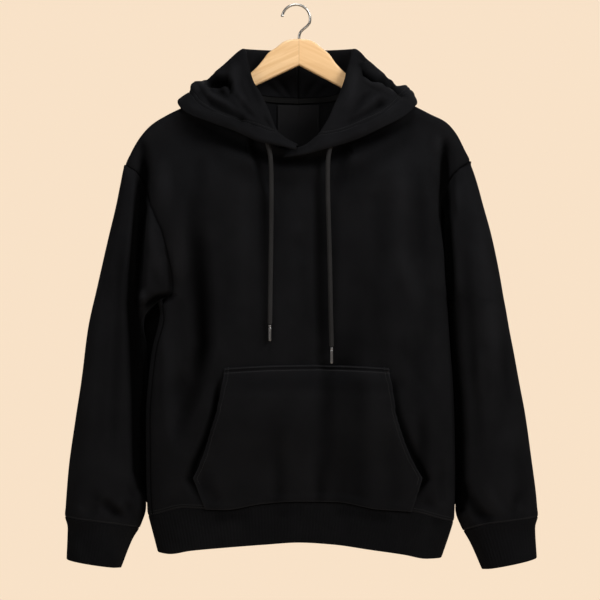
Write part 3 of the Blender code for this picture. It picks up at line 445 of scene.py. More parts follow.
# t runs from the cuff's seam, where it takes in the end of the sleeve, to its lower edge.
CUFF_NAMES = "t outer inner depth drop tilt"
CUFFS = {
    "right": Table(CUFF_NAMES, """
           0   -351   -240 35.5    0 6.5
        0.28   -347 -249.5   33   16 6.5
           1 -348.7 -267.1   31 62.7 6.2"""),
    "left": Table(CUFF_NAMES, """
           0 365.6 254.5 35.5    0 6.5
        0.28 361.5 263.8   33   17 7.5
           1 363.9 282.2   31 62.9 8.3""")}
RIB_GAP = 0.55              # between the mid-surfaces of a rib and the cloth above it


def cuff_ring(side, t):
    """One closed ring of a cuff: the sleeve's last ring, drawn in and lowered."""
    first, row = CUFFS[side].at(0.0), CUFFS[side].at(t)
    ring = tube_row(side, CUFF_LEVEL)
    share = (ring[:, 0] - first["inner"]) / (first["outer"] - first["inner"])
    x = row["inner"] + (row["outer"] - row["inner"]) * share
    y = ring[:, 1] * row["depth"] / first["depth"]
    z = (ring[:, 2] - RIB_GAP - row["drop"] + (row["tilt"] - first["tilt"]) * (2.0 * share - 1.0)
         + droop(side, 2.0 * share - 1.0) * t)
    return np.stack([x, y, z], axis=1)


# ---------------------------------------------------------------- the cut of the hood
# Stations of each half, from its front end (0) over the shoulder (7) to the centre back (10).
# turn places the station on the neckline; roll is the fold line, edge the turned-out opening,
# and belly and bulge say how the cloth between them swells or hangs.
HOOD_NAMES = ("station turn roll_x roll_y roll_z edge_x edge_y edge_z "
              "belly_x belly_y belly_z bulge")
HOOD = {
    "right": Table(HOOD_NAMES, """
         0  0.99  -1 -74 -217   -1 -77   -223   1 -1    0 -1
         1   0.9 -20 -71 -206  -24 -75 -216.5  -1 -3   -1 -1
         2  0.83 -32 -63 -192  -56 -69   -210  -4 -4   -2 -2
         3  0.72 -43 -55 -165  -91 -60   -194  -7 -6   -7 -2
         4  0.54 -55 -42 -138 -132 -49   -179 -10 -8   -9 -2
         5  0.34 -68 -25 -113 -159 -35 -168.5 -13 -9  -14 -2
         6  0.12 -77 -11  -80 -176 -17   -156 -11 -6  -17 -1
         7 -0.06 -80   8  -66 -181  14   -145 -19 15  -14  4
         8  -0.3 -65  24  -66 -147  80   -119 -16 30 -108 15
         9 -0.65 -32  36  -66  -84 100   -103 -10 24 -198 20
        10    -1   2  42  -66    2 108    -99   0 17 -232 20"""),
    "left": Table(HOOD_NAMES, """
         0  1.06 -16 -59.5 -225 -20 -62.5 -234  0 -0.5    0 -0.5
         1  0.93  12   -63 -218  12 -66.5 -229  0   -2   -1   -1
         2  0.83  30   -62 -203  42   -68 -221  1   -4   -2   -1
         3  0.71  47   -56 -179  84   -61 -208  5   -6   -8   -2
         4  0.54  62   -43 -145 130   -49 -187  8   -8  -11   -2
         5  0.34  75   -25 -110 162   -35 -170 13   -9  -18   -2
         6  0.12  84   -11  -78 178   -14 -155 14   -6  -21   -1
         7 -0.06  87     8  -66 182    14 -148 22   15  -15    4
         8  -0.3  71    24  -66 151    80 -119 16   30 -108   15
         9 -0.65  37    36  -66  89   100 -103 10   24 -198   20
        10    -1   2    42  -66   2   108  -99  0   17 -232   20""")}
HOOD_MIDLINE = 2.5
HOOD_RISE = 3.8             # the hood starts this far inside the neckline
ARM_CLEARANCE = (0.2, 5.6)  # and further in and up where it crosses the hanger's arm
TIP_RISE = 8.0              # the right end stands on the left end at the front centre


def hood_foot(side, turn):
    """Where the hood leaves the neckline; turn 1 is the front centre, -1 the centre back."""
    sign = -1 if side == "right" else 1
    face = FRONT if turn > 0 else BACK
    step = abs(turn)
    if step > 1.0:
        sign, step = -sign, 2.0 - step
    point = neck_point(face, step, sign)
    ahead = neck_point(face, min(step + 0.02, 1.0), sign) - neck_point(face, max(step - 0.02, 0.0), sign)
    inward = np.array([-sign * abs(ahead[2]), 0.0, abs(ahead[0])])
    over_arm = float(smooth(1.0 - step / 0.28))
    lift = over_arm * np.array([-sign * ARM_CLEARANCE[0], 0.0, ARM_CLEARANCE[1]])
    return point + HOOD_RISE * inward / np.linalg.norm(inward) + lift


def hood_row(side, station):
    """One strip of the hood from the neckline over the roll to the opening's edge."""
    row = HOOD[side].at(station)
    foot = hood_foot(side, row["turn"])
    if side == "right":
        foot += TIP_RISE * float(smooth(2.0 - station)) * np.array([0.0, -0.75, 0.9])
    roll, edge, swell = (np.array([row[f"{part}_{axis}"] for axis in "xyz"]) for part in ("roll", "edge", "belly"))
    belly = (roll + edge) / 2.0 + swell
    outward = np.array([0.0, row["bulge"], 0.0])
    line = curve_through([foot, (foot + roll) / 2.0, roll, (roll + belly) / 2.0 - outward * 0.2, belly,
                          (belly + edge) / 2.0 + outward, edge])
    strip = [line[:1]]
    for first, last, columns in HOOD_STRETCHES:
        stretch = line[first * PIECES:last * PIECES + 1]
        strip.append(along(stretch, np.linspace(0.0, 1.0, columns + 1))[1:])
    return np.vstack(strip)


# ---------------------------------------------------------------- pocket, label, cords, hanger
POCKET_TOP = -547.0
POCKET_RISE = 5.0           # the top edge bows up in the middle
POCKET_OUTLINE = Table("z right left", """
      -549 -108.2 138.1
    -581.6 -111.6 142.4
    -611.5 -117.2   146
    -641.4 -126.6 153.6
    -681.4 -138.5 168.2
      -700   -147   178
    -714.5 -155.5 188.2""")
POCKET_CORNER = -714.5      # below its corners the pocket narrows to the hem seam
POCKET_FOOT = (-137.5, 172.5)
POCKET_COLUMNS = 130
POCKET_SEAT = 0.9           # clearance where it is sewn on
POCKET_MOUTH = 7.6          # how far its open sides stand off the front
POCKET_BELLY = 9.2          # and its middle
POCKET_EASE = 34.0          # height over which it falls to its sewn top
POCKET_FOOT_EASE = 105.0    # and to its sewn foot
POCKET_TOP_STITCHES = (2.2, 8.0)
POCKET_SIDE_STITCH = 6.5
POCKET_SIDE_SEWN = 0.82     # share of the open sides that this row runs along
STITCH = {"Pitch": 0.0034, "Stitch Length": 0.0028, "Thread": 0.0006}
CASING = 25.0               # width of the hood's cased edge
CASING_STITCHES = (CASING, CASING + 5.5)
BODY_STITCHES = (3.0, 6.2)  # rows above the hem rib
SLEEVE_STITCHES = (3.0,)    # and above each cuff

LABEL_WIDTH = 65.0
LABEL_TOP = -148.5
LABEL_FOOT = -211.5
LABEL_X = 2.6
TAPE_REACH = 0.62           # share of the back neckline that the tape covers, from its centre
TAPE_HEIGHT = 8.0
TAPE_RISE = 3.5
TAPE_INSET = 4.3

CORDS = {
    "right": [(-44.5, -64.4, -210.0), (-43.0, -64.5, -215.0), (-41.3, -64.9, -221.0), (-39.4, -65.4, -232.0),
              (-38.2, -65.8, -248.0), (-37.8, -66.1, -275.0), (-37.9, -66.4, -318.0), (-38.3, -66.7, -362.0),
              (-39.3, -67.0, -430.0), (-40.0, -67.2, -484.4)],
    "left": [(51.6, -61.4, -213.5), (50.3, -61.8, -218.5), (48.7, -62.8, -225.0), (47.2, -64.2, -236.0),
             (46.7, -65.5, -252.0), (46.8, -66.0, -289.0), (48.4, -66.5, -345.0), (49.9, -66.9, -405.0),
             (51.0, -67.2, -462.0), (52.3, -67.3, -518.0)]}

# Half outline of the hanger by its reach from the centre, right and left arms.
HANGER = Table("reach right_top left_top right_base left_base", """
      0  -50.3  -50.3  -90.6  -90.6
     12  -51.2  -51.2  -96.3    -97
     22    -54  -54.5   -101 -102.3
     35  -63.5  -64.5 -107.2 -109.2
     46    -71  -73.5 -112.4   -115
     55  -82.4    -86 -116.7 -119.8
     63    -92    -95 -120.5   -124
     75 -103.4 -106.2 -126.2 -130.4
     88 -115.9 -117.2 -132.4 -137.3
    139 -140.4 -142.4 -156.6 -164.4
    185   -163   -170 -178.4 -188.8
    206 -175.6   -185 -189.6 -199.6
    213 -182.5   -192 -191.5   -201""")
ARM_REACHES = [*np.linspace(0.0, 88.0, 60), *np.linspace(92.0, 213.0, 46)]
ARM_TIP = 217.5
HOOK_CENTRE = (-1.0, -19.4)
HOOK_RADIUS = 21.4


def hook_route():
    """Centre line of the hook: a round crown, then a neck down to the wood."""
    turns = np.radians(np.linspace(166.0, -18.0, 24))
    crown = [(HOOK_CENTRE[0] + HOOK_RADIUS * math.cos(a), 0.0, HOOK_CENTRE[1] + HOOK_RADIUS * math.sin(a))
             for a in turns]
    neck = [(15.2, 0.0, -31.2), (9.4, 0.0, -36.0), (5.2, 0.0, -41.0), (3.7, 0.0, -46.0), (3.5, 0.0, -50.0)]
    return crown + neck


def pocket_rows():
    """The pocket's rows of (x, z, rise): it stands off the front between its sewn edges."""
    top = POCKET_OUTLINE.keys[-1]
    levels = [top] + [top - step for step in RIM_STEPS] + list(np.linspace(top - 3.5, POCKET_CORNER, 86))
    rows = []
    for z in levels:
        edge = POCKET_OUTLINE.at(z)
        xs = np.linspace(edge["right"], edge["left"], POCKET_COLUMNS + 1)
        bow = POCKET_RISE * float(smooth((z + 600.0) / 51.0))
        middle, half = (edge["left"] + edge["right"]) / 2.0, (edge["left"] - edge["right"]) / 2.0
        rows.append([(x, z + bow * (1.0 - ((x - middle) / half) ** 2)) for x in xs])
    corner = POCKET_OUTLINE.at(POCKET_CORNER)
    for share in list(np.linspace(0.04, 0.94, 22)) + [0.96, 0.98, 0.992, 1.0]:
        right = corner["right"] + (POCKET_FOOT[0] - corner["right"]) * share
        left = corner["left"] + (POCKET_FOOT[1] - corner["left"]) * share
        rows.append([(x, POCKET_CORNER + (HEM.at(x)["seam"] + 1.5 - POCKET_CORNER) * share)
                     for x in np.linspace(right, left, POCKET_COLUMNS + 1)])
    standing = []
    for row in rows:
        z = row[0][1]
        belly = smooth((POCKET_TOP - z) / POCKET_EASE) * smooth((z - POCKET_CORNER + 4.0) / POCKET_FOOT_EASE)
        across = np.linspace(-1.0, 1.0, len(row))
        rises = belly * (POCKET_MOUTH + (POCKET_BELLY - POCKET_MOUTH) * (1.0 - across ** 2))
        standing.append([(x, z, rise) for (x, z), rise in zip(row, rises)])
    return standing


# ---------------------------------------------------------------- laying cloth
CLOTH_GIVE = 5.0            # no fold of the body or a sleeve goes deeper than this
# The pocket's own fold lines hardly move it; over the folds it takes from the front under it, they mostly paint shade
# into its colour.
POCKET_GIVE = 0.2
HOOD_GIVE = 40.0
PAINTED_SHADE_DEPTH = 9.0               # depth of a fold at which its painted shade is darkest
PAINTED_SHADE_STRENGTH = 0.94          # how much the painted shade darkens the colour there; a ridge as high is lightened as much, as painted light


def read_folds(text):
    """Folds with a semicolon between them, each some points of x, z, half width and depth."""
    return [np.array([point.split() for point in fold.split(",")], float) for fold in text.split(";")]


# Soft folds of each piece, along the line of each fold. A depth above 0 is a trough, below 0 a
# ridge, and both press along the cloth's own surface. The same depth is also painted into the
# colour: painted shade in a trough and painted light on a ridge, also where the cloth has no
# room to move, so some lines, such as those along the seams between body and sleeve and the
# shadow under the hood's edge, are mostly painted shade. Sides that look back have quieter ones.
FOLD_AND_SHADE_LINES = {name: read_folds(rows) for name, rows in {
    "body_sides": """
    -206 -443 9 -7, -208 -451 11 -8, -208 -458 9 -3""",
    "body_front": """
    -233.3 -429 6 0, -233.3 -444 7.5 -6, -231.8 -456 6 -3;
    5 -334.6 21 0, 5 -364.6 22.5 2, 6.5 -399 21 1.6, 8 -432 19.5 0;
    124.9 -276.1 21 0, 124.9 -300.1 22.5 2, 126.4 -342.1 21 1.4, 126.4 -390 21 2, 124.9 -424.5 18 0;
    186.3 -489 19.5 0, 186.3 -521.9 21 1.8, 183.3 -554.9 18 1.2, 183.3 -596.9 18 1.6;
    -116.4 -571.4 7.5 1, -119.4 -598.4 9 4.5, -125.4 -620.9 7.5 2;
    217.8 -694.3 12 1.2, 217.8 -719.8 15 2.6, 219.3 -746.7 13.5 1.6;
    -140.4 -701.8 9 1.2, -144.9 -719.8 12 3.2, -140.4 -740.7 9 1;
    -200.3 -222.2 18 0, -203.3 -252.2 21 -3.2, -204.8 -294.1 21 -4.2, -204.8 -319.6 18 -2.2, -204.8 -349.6 16.5 0;
    -174.8 -274.6 15 0, -173.3 -312.1 18 -2.4, -174.8 -357.1 18 -3.2, -176.3 -402 16.5 -3.8, -177.8 -432 15 -2,
    -179.3 -454.5 13.5 0;
    -144.9 -222.2 15 0, -146.4 -244.7 18 2.2, -146.4 -270.2 18 2.4, -144.9 -297.1 18 1.2, -144.9 -319.6 15 0;
    82.9 -225.2 10.5 2, 112.9 -210.2 12 3.6, 142.9 -193.7 12 4, 166.9 -178.7 10.5 3, 181.8 -166.7 7.5 0;
    211.8 -189.2 12 0, 214.8 -210.2 15 -3.5, 214.8 -234.2 13.5 0;
    35 -511.4 13.5 0, 35 -532.4 13.5 2.4, 36.5 -545.9 13.5 2.4;
    124.9 -447 24 0, 124.9 -484.5 27 1.8, 126.4 -521.9 27 2, 127.9 -548.9 24 1.8;
    184.8 -604.4 18 0, 190.8 -641.8 21 1.8, 192.3 -686.8 19.5 1.4, 193.8 -724.3 24 3, 196.8 -751.2 22.5 3;
    -144.9 -698.8 10.5 1.2, -149.4 -724.3 15 2.6, -149.4 -746.7 12 1;
    -173.3 -544.4 15 0, -174.8 -574.4 18 2.4, -176.3 -601.4 16.5 1.8, -174.8 -626.8 13.5 0;
    -233.3 -426 7.5 0, -231.8 -444 9 -7, -230.3 -457.5 7.5 -4;
    88.9 -379.6 33 0, 88.9 -424.5 36 1.4, 90.4 -469.5 39 2.6, 82.9 -514.4 40.5 3, 72.4 -545.9 40.5 3.2;
    -144.9 -204.2 21 0, -111.9 -237.2 24 1.8, -69.9 -261.2 24 2, -17.5 -276.1 24 1.2;
    32 -276.1 24 1.2, 88.9 -255.2 24 2.2, 133.9 -228.2 24 2.6, 160.9 -207.2 21 1.2;
    -52 -447 30 0, -49 -499.5 33 1.6, -46 -545.9 30 1.2;
    9.5 -379.6 21 0, 12.5 -432 24 1.2, 8 -492 24 1, 5 -545.9 24 1.6;
    -165.9 -274.6 21 0, -156.9 -319.6 24 2.4, -147.9 -372.1 25.5 6.4, -143.4 -447 25.5 8.6, -140.4 -514.4 24 9,
    -150.9 -574.4 21 5, -171.8 -626.8 18 3.4, -180.8 -671.8 16.5 0;
    -204.8 -237.2 16.5 0, -198.8 -282.1 19.5 -3.6, -192.8 -319.6 19.5 -2.4, -177.8 -387.1 19.5 -2.8, -177.8 -432 15 0;
    -80.4 -244.7 22.5 0, -78.9 -297.1 25.5 -1.8, -81.9 -447 21 -1.2, -84.9 -514.4 19.5 0;
    -52 -244.7 13.5 0, -50.5 -319.6 15 2.4, -52 -394.5 13.5 2, -52 -514.4 12 0;
    38 -249.2 13.5 0, 36.5 -297.1 16.5 4.6, 36.5 -390 18 4.8, 38 -474 16.5 4.6, 41 -521.9 15 2;
    -1 -282.1 21 0, -1 -357.1 21 -1.2, -1 -447 21 -0.8, -1 -514.4 18 0;
    151.9 -222.2 18 0, 156.4 -282.1 21 -2.6, 157.9 -387.1 21 -2.6, 175.9 -441 19.5 -2.6, 190.8 -484.5 18 0;
    118.9 -402 21 0, 121.9 -447 24 1.6, 112.9 -521.9 21 0;
    178.9 -234.2 12 0, 186.3 -282.1 15 1.8, 187.8 -357.1 13.5 1.6, 187.8 -402 12 0;
    220.8 -334.6 10.5 0, 214.8 -390 13.5 -1.2, 214.8 -477 13.5 -0.8, 217.8 -551.9 12 0;
    142.9 -499.5 13.5 0, 172.9 -536.9 16.5 1.4, 196.8 -575.9 15 1.2, 210.3 -604.4 13.5 0;
    -156.9 -171.2 12 2, -135.9 -187.7 13.5 4, -111.9 -202.7 13.5 6, -84.9 -214.7 15 7, -52 -228.2 15 6,
    -19 -238.7 15 6, 5 -240.2 15 7, 32 -238.7 15 7, 64.9 -226.7 15 6, 94.9 -208.7 13.5 7, 124.9 -196.7 13.5 5,
    151.9 -181.7 12 2, 166.9 -172.7 10.5 0;
    184.8 -589.4 15 0, 190.8 -656.8 15 2.6, 186.3 -716.8 15 3, 180.4 -755.7 13.5 1.6;
    142.1 -560.9 6 0, 145.9 -584.9 7.5 5, 150.4 -619.4 9 7.5, 165.4 -659.8 10.5 9, 183.3 -695.8 11.2 9,
    196.8 -716.8 9 7, 184.8 -734.8 7.5 3, 171.4 -751.2 6 0;
    -113.4 -563.9 6 0, -117.9 -584.9 9 5, -122.4 -614.9 9 7.5, -135.9 -656.8 10.5 9, -152.4 -692.8 12 9,
    -159.9 -716.8 13.5 7.5, -152.4 -734.8 9 3, -143.4 -751.2 6 0;
    -180.8 -743.7 12 0, -186.8 -755.7 10.5 1.3, -195.8 -764.7 9 1;
    192.3 -742.2 12 0, 202.8 -757.2 10.5 1.4, 216.3 -766.2 9 1;
    -240.8 -189.2 7.5 0, -231.8 -219.2 10.5 6, -231.8 -255.2 13.5 13, -234.8 -304.6 15 14, -239.3 -357.1 15 14,
    -243.8 -409.5 16.5 14, -245.3 -454.5 18 14, -240.8 -506.9 19.5 14, -237.8 -596.9 18 14, -237 -664.3 17.2 14,
    -236.3 -701.8 16.5 14, -232.5 -727.3 14.2 12, -227.3 -745.2 9 8, -224.3 -758.7 6 0;
    -225.8 -456 10.5 8, -207.8 -447 12 12, -194.3 -442.5 10.5 7, -180.8 -438 9 0;
    223.8 -195.2 7.5 0, 225.3 -216.2 10.5 9, 225.3 -252.2 12 14, 223.8 -285.1 12 14, 220.8 -319.6 9 12,
    225.3 -357.1 7.5 10, 229.8 -390 7.5 8, 232.8 -492 7.5 6, 240.3 -596.9 9 8, 244.8 -761.7 9 8;
    -204.8 -492 13.5 0, -204.8 -551.9 13.5 1.2, -201.8 -641.8 13.5 0""",
    "body_back": """
    -118 -345 26 0, -128 -470 30 3.4, -124 -600 28 3, -112 -720 24 0;
    -38 -380 20 0, -46 -520 24 2.4, -40 -640 22 2, -34 -730 18 0;
    62 -350 24 0, 70 -480 28 2.8, 64 -620 26 2.5, 58 -735 20 0;
    146 -330 22 0, 158 -450 24 3.3, 150 -580 22 2.4, 146 -690 18 0;
    10 -420 18 0, 8 -540 20 -1.7, 12 -690 16 0;
    -86 -330 18 0, -84 -430 18 -2, -88 -560 16 0;
    112 -360 18 0, 108 -470 18 -1.8, 112 -600 16 0;
    -196 -452 12 0, -172 -492 15 2.2, -150 -548 14 0;
    214 -452 12 0, 192 -498 15 2.4, 172 -560 14 0;
    -190 -590 16 0, -176 -650 18 1.7, -184 -720 14 0;
    196 -600 16 0, 184 -668 18 1.8, 192 -728 14 0""",
    "sleeve_right": """
    -234.3 -425.9 7.5 0, -232.8 -444 9 -7, -231.3 -457.5 7.5 -4;
    -241.8 -188.2 7.5 0, -232.8 -218.3 10.5 6, -232.8 -254.4 13.5 13, -235.8 -304 15 14, -240.3 -356.7 15 14,
    -244.8 -409.4 16.5 14, -246.3 -454.5 18 14, -241.8 -507.2 19.5 14, -238.8 -597.5 18 14, -238 -665.2 17.2 14,
    -237.3 -702.8 16.5 14, -233.5 -728.4 14.2 12, -228.2 -746.5 9 8, -225.2 -760 6 0;
    -226.7 -456 10.5 8, -208.7 -447 12 12, -195.1 -442.5 10.5 7, -181.6 -438 9 0;
    -289.9 -304 21 0, -297.5 -386.8 24 -2.2, -306.5 -492.1 24 -2.6, -311 -597.5 22.5 -2, -314 -680.2 19.5 0;
    -262.9 -329.6 12 0, -267.4 -416.9 13.5 2.2, -270.4 -522.2 13.5 2.4, -274.9 -627.6 13.5 2, -277.9 -702.8 12 0;
    -326.1 -492.1 12 0, -330.6 -582.4 13.5 1.6, -333.6 -672.7 12 0;
    -296 -745 12 0, -285.4 -757 13.5 5, -273.4 -767.5 12 6, -261.3 -776.6 9 2, -255.3 -781.1 7.5 0;
    -265.9 -748 12 0, -253.8 -760 12 2.6, -246.3 -775 10.5 1;
    -308 -726.9 13.5 0, -302 -748 13.5 2, -306.5 -770.5 12 1.6;
    -259.8 -741.9 12 0, -264.4 -755.5 10.5 -2.2, -256.8 -767.5 9 0;
    -320 -752.5 13.5 0, -326.1 -764.5 12 -1.6, -335.1 -770.5 10.5 0;
    -252.3 -717.9 10.5 0, -247.8 -740.4 10.5 2.2, -244.8 -755.5 10.5 0;
    -226.7 -304 10.5 0, -220.7 -341.7 12 -1.5, -208.7 -389.8 13.5 -2, -201.2 -424.4 12 0;
    -219.2 -389.8 10.5 0, -211.7 -421.4 12 1.8, -199.7 -435 10.5 0;
    -270.4 -206.2 15 0, -267.4 -236.3 16.5 -1.2, -271.9 -281.5 15 0""",
    "sleeve_left": """
    336.1 -642.6 18 0, 339.1 -687.8 21 1.8, 340.6 -748 21 2.6, 340.6 -770.5 18 1.8;
    306 -514.7 18 0, 307.5 -555.3 19.5 2.2, 307.5 -627.6 19.5 2.2, 306 -665.2 16.5 0;
    275.9 -514.7 13.5 0, 275.9 -540.3 15 -2.4, 275.9 -567.4 15 -2.2, 275.9 -597.5 13.5 0;
    257.8 -769 12 0.5, 275.9 -776.6 15 3, 290.9 -779.6 13.5 1.6;
    226.2 -248.4 10.5 14, 224.7 -284.5 12 14, 224.7 -319.1 12.8 14, 226.2 -356.7 12.8 14, 229.2 -401.9 12.8 14,
    230.7 -462 13.5 14, 235.2 -522.2 13.5 12, 241.3 -597.5 15 14, 244.3 -657.7 15 14, 245.8 -763 13.5 13;
    272.9 -281.5 18 0, 281.9 -371.8 22.5 -2.4, 293.9 -492.1 22.5 -2.6, 306 -612.5 21 -1.8, 313.5 -680.2 18 0;
    250.3 -319.1 12 0, 256.3 -416.9 13.5 2.2, 263.8 -522.2 13.5 2.4, 272.9 -627.6 13.5 2, 275.9 -702.8 12 0;
    306 -447 12 0, 316.5 -552.3 13.5 1.6, 325.5 -657.7 12 0;
    247.3 -714.9 12 0, 254.8 -741.9 13.5 5, 269.8 -763 15 6, 287.9 -776.6 12 4, 303 -779.6 9 0;
    337.6 -726.9 12 0, 330 -751 13.5 2.4, 327 -772 10.5 2;
    284.9 -717.9 13.5 0, 290.9 -743.4 13.5 -2, 306 -763 12 -1.4, 318 -772 9 0;
    254.8 -714.9 10.5 0, 251.8 -740.4 10.5 2.4, 254.8 -758.5 10.5 0;
    330 -748 13.5 0, 336.1 -763 12 -1.6, 343.6 -770.5 10.5 0;
    242.8 -263.4 10.5 0, 241.3 -289 12 -1.4, 242.8 -334.1 12 0""",
    "sleeve_right_back": """
    -268 -330 14 0, -282 -430 16 2.7, -290 -540 16 2.4, -294 -640 14 0;
    -296 -400 12 0, -308 -500 14 -1.9, -318 -620 14 0;
    -250 -520 10 0, -256 -600 12 2.1, -252 -690 12 0;
    -262 -748 12 0, -280 -758 14 3.2, -300 -752 12 0;
    -318 -745 12 0, -326 -764 12 2.1, -334 -778 10 0""",
    "sleeve_left_back": """
    284 -330 14 0, 296 -430 16 2.6, 304 -540 16 2.4, 308 -640 14 0;
    310 -400 12 0, 322 -500 14 -1.9, 332 -620 14 0;
    262 -520 10 0, 268 -600 12 2.1, 264 -690 12 0;
    276 -750 12 0, 294 -760 14 3.2, 314 -752 12 0;
    332 -745 12 0, 340 -764 12 2.1, 348 -778 10 0""",
    "pocket": """
    35 -701.8 13.5 1, 35 -724.3 13.5 2.5, 35 -754.2 13.5 2.5;
    94.9 -574.4 18 1.7, 94.9 -611.9 21 2, 96.4 -656.8 19.5 1, 94.9 -716.8 21 2, 96.4 -758.7 19.5 2;
    -132.9 -701.8 15 0.7, -135.9 -725.8 18 2.4, -123.9 -746.7 19.5 2, -120.9 -764.7 15 1;
    44 -551.9 18 2, 44 -596.9 21 2.5, 42.5 -641.8 21 2.7, 41 -686.8 22.5 2.7, 38 -731.8 22.5 2.4, 35 -764.7 21 2.4;
    70.9 -551.9 40.5 3.1, 73.9 -596.9 42 2.5, 73.9 -641.8 42 2.2, 70.9 -701.8 40.5 2.4, 70.9 -764.7 39 3.4;
    -37 -593.9 18 0, -29.5 -656.8 19.5 1.7, -26.5 -713.8 16.5 2.9, -26.5 -764.7 15 3.6;
    -126.9 -569.9 19.5 1, -52 -571.4 22.5 2.4, 5 -571.4 22.5 2.2, 72.4 -572.9 22.5 1.7, 148.9 -575.9 19.5 1.7;
    133.9 -626.8 18 0, 139.9 -671.8 19.5 1.4, 148.9 -731.8 19.5 1.7, 142.9 -764.7 18 1""",
    "rib_painted_shade": """
    -135.9 -773.7 13.5 0, -111.9 -772.2 15 3.2, -80.4 -770.7 13.5 2.8, -60.9 -767.7 12 0;
    38 -764.7 13.5 0, 72.4 -764.7 13.5 2.4, 130.9 -773.7 13.5 2.8, 148.9 -779.7 10.5 0;
    196.8 -781.2 9 0, 211.8 -781.2 10.5 3, 223.8 -781.2 7.5 1;
    -43 -767.7 12 0, -17.5 -766.2 13.5 1.6, 8 -764.7 12 0.8;
    -354.7 -824.7 12 0, -330.7 -815.7 13.5 -2, -318.7 -839.7 13.5 -2""",
    "hood_right": """
    -86.6 -134.6 9 0, -85.1 -146.6 12 -3, -85.1 -158.7 9 0;
    -79.1 -164.7 7.5 0, -83.6 -178.2 10.5 3.2, -91.1 -188.7 9 0;
    -143.7 -115.1 9 6, -133.2 -116.6 12 15, -121.1 -116.6 13.5 19, -109.1 -115.1 12 17, -101.6 -121.1 9 13,
    -98.6 -131.6 7.5 6, -100.1 -140.6 6 0;
    -124.2 -134.6 9 0, -115.1 -131.6 10.5 6, -106.1 -140.6 9 3, -103.1 -146.6 7.5 0;
    -145.2 -116.6 5.4 0, -139.2 -127.1 6 -3.2, -131.7 -137.6 6.3 -4.4, -119.6 -145.1 6.3 -4.2, -104.6 -152.7 6 -3,
    -91.1 -161.7 6 0;
    -140.7 -139.1 7.5 0, -128.7 -151.2 9 4.6, -110.6 -161.7 9.8 5.2, -88.1 -172.2 9 4.2, -67.1 -184.2 7.5 1.6,
    -52.1 -191.7 6 0;
    -91.1 -83.6 10.5 0, -94.1 -104.6 13.5 -3.6, -94.1 -125.6 12 -3.6, -85.1 -146.6 12 -2.4, -70.1 -167.7 9 0;
    -76.1 -95.6 7.5 0, -71.6 -116.6 9 2.4, -62.6 -140.6 9 2, -50.6 -164.7 6 0;
    -95.6 -134.6 6 0, -86.6 -148.1 7.5 3.4, -73.1 -164.7 7.5 2.8, -56.6 -181.2 6 0;
    -169.2 -148.1 9 0, -157.2 -157.2 9 -1.8, -139.2 -166.2 9 -1, -124.2 -173.7 7.5 0;
    -52.1 -167.7 6 0, -43.1 -182.7 6 2.2, -31 -197.7 6 0;
    -131.7 -101.6 10.5 0, -125.7 -109.1 10.5 5.5, -118.1 -113.6 9 0;
    -160.2 -134.6 10.5 0, -152.7 -125.6 12 -9, -140.7 -116.6 10.5 -9, -131.7 -110.6 9 0;
    -106.1 -191.7 9 0, -88.1 -197.7 9 -1.2, -70.1 -203.7 9 0""",
    "hood_left": """
    122.1 -101.6 7.5 0, 125.1 -116.6 12 -6, 128.1 -131.6 7.5 0;
    126.6 -139.1 9 0, 125.1 -148.1 12 2.8, 122.1 -161.7 9 0;
    98.1 -92.6 7.5 6, 104.1 -104.6 9.8 14, 114.6 -112.1 10.5 17, 126.6 -115.1 9.8 13, 135.7 -121.1 7.5 7,
    141.7 -127.1 6 0;
    95.1 -83.6 6 0, 99.6 -101.6 6.6 -3.4, 107.1 -116.6 6.6 -4.6, 122.1 -125.6 6.6 -4.4, 140.2 -133.1 6 -3.2,
    156.7 -140.6 6 0;
    146.2 -124.1 6 5, 153.7 -131.6 7.5 11, 161.2 -136.1 6 6, 165.7 -140.6 5.2 0;
    143.2 -145.1 7.5 0, 128.1 -152.7 9 4.2, 110.1 -163.2 9.8 4.2, 86.1 -176.7 9 3, 62.1 -190.2 7.5 0;
    86.1 -89.6 10.5 0, 86.1 -113.6 13.5 -3.4, 83.1 -137.6 12 -3, 71.1 -161.7 10.5 0;
    113.1 -131.6 7.5 0, 101.1 -142.1 9 3.6, 90.6 -158.7 9 2.6, 74.1 -178.2 7.5 0;
    134.2 -136.1 6.8 0, 119.1 -143.6 7.5 -2.6, 104.1 -158.7 7.5 -1.4, 89.1 -170.7 7.5 0;
    74.1 -101.6 7.5 0, 68.1 -128.6 7.5 2.2, 57.6 -155.7 7.5 0;
    152.2 -125.6 7.5 0, 161.2 -127.1 9 -9, 170.2 -133.1 9 -9, 176.2 -143.6 9 -4, 179.2 -152.7 7.5 0;
    141.7 -113.6 9 0, 149.2 -121.1 9 5, 153.7 -128.6 6 0;
    161.2 -149.7 7.5 0, 146.2 -158.7 7.5 -1.6, 125.1 -170.7 7.5 0;
    129.6 -103.1 9 0, 137.2 -113.6 9 5.5, 144.7 -122.6 7.5 2, 149.2 -127.1 6 0;
    90.6 -74.6 9 0, 101.1 -82.1 9 3, 113.1 -92.6 9 0;
    116.1 -187.2 9 0, 98.1 -194.7 9 -1.2, 80.1 -202.2 9 0""",
    "hood_inside": """
    -8.8 -136.6 6 1.5, -16.4 -122.8 6.8 4, -30.2 -107.5 7.5 1;
    -22.5 -136.6 6 1, -36.3 -122.8 6.8 2.6, -50 -113.7 6 0;
    -1.1 -135.1 3.9 0, -5.7 -119.8 4.5 -1.6, -14.9 -106 4.5 0;
    11.1 -136.6 6 1.5, 20.3 -122.8 6.8 3.8, 34.1 -107.5 7.5 1;
    27.9 -136.6 6 1, 41.7 -124.4 6.8 2.6, 53.9 -116.7 6 0;
    6.5 -135.1 3.9 0, 9.6 -119.8 4.5 -1.6, 18.8 -106 4.5 0""",
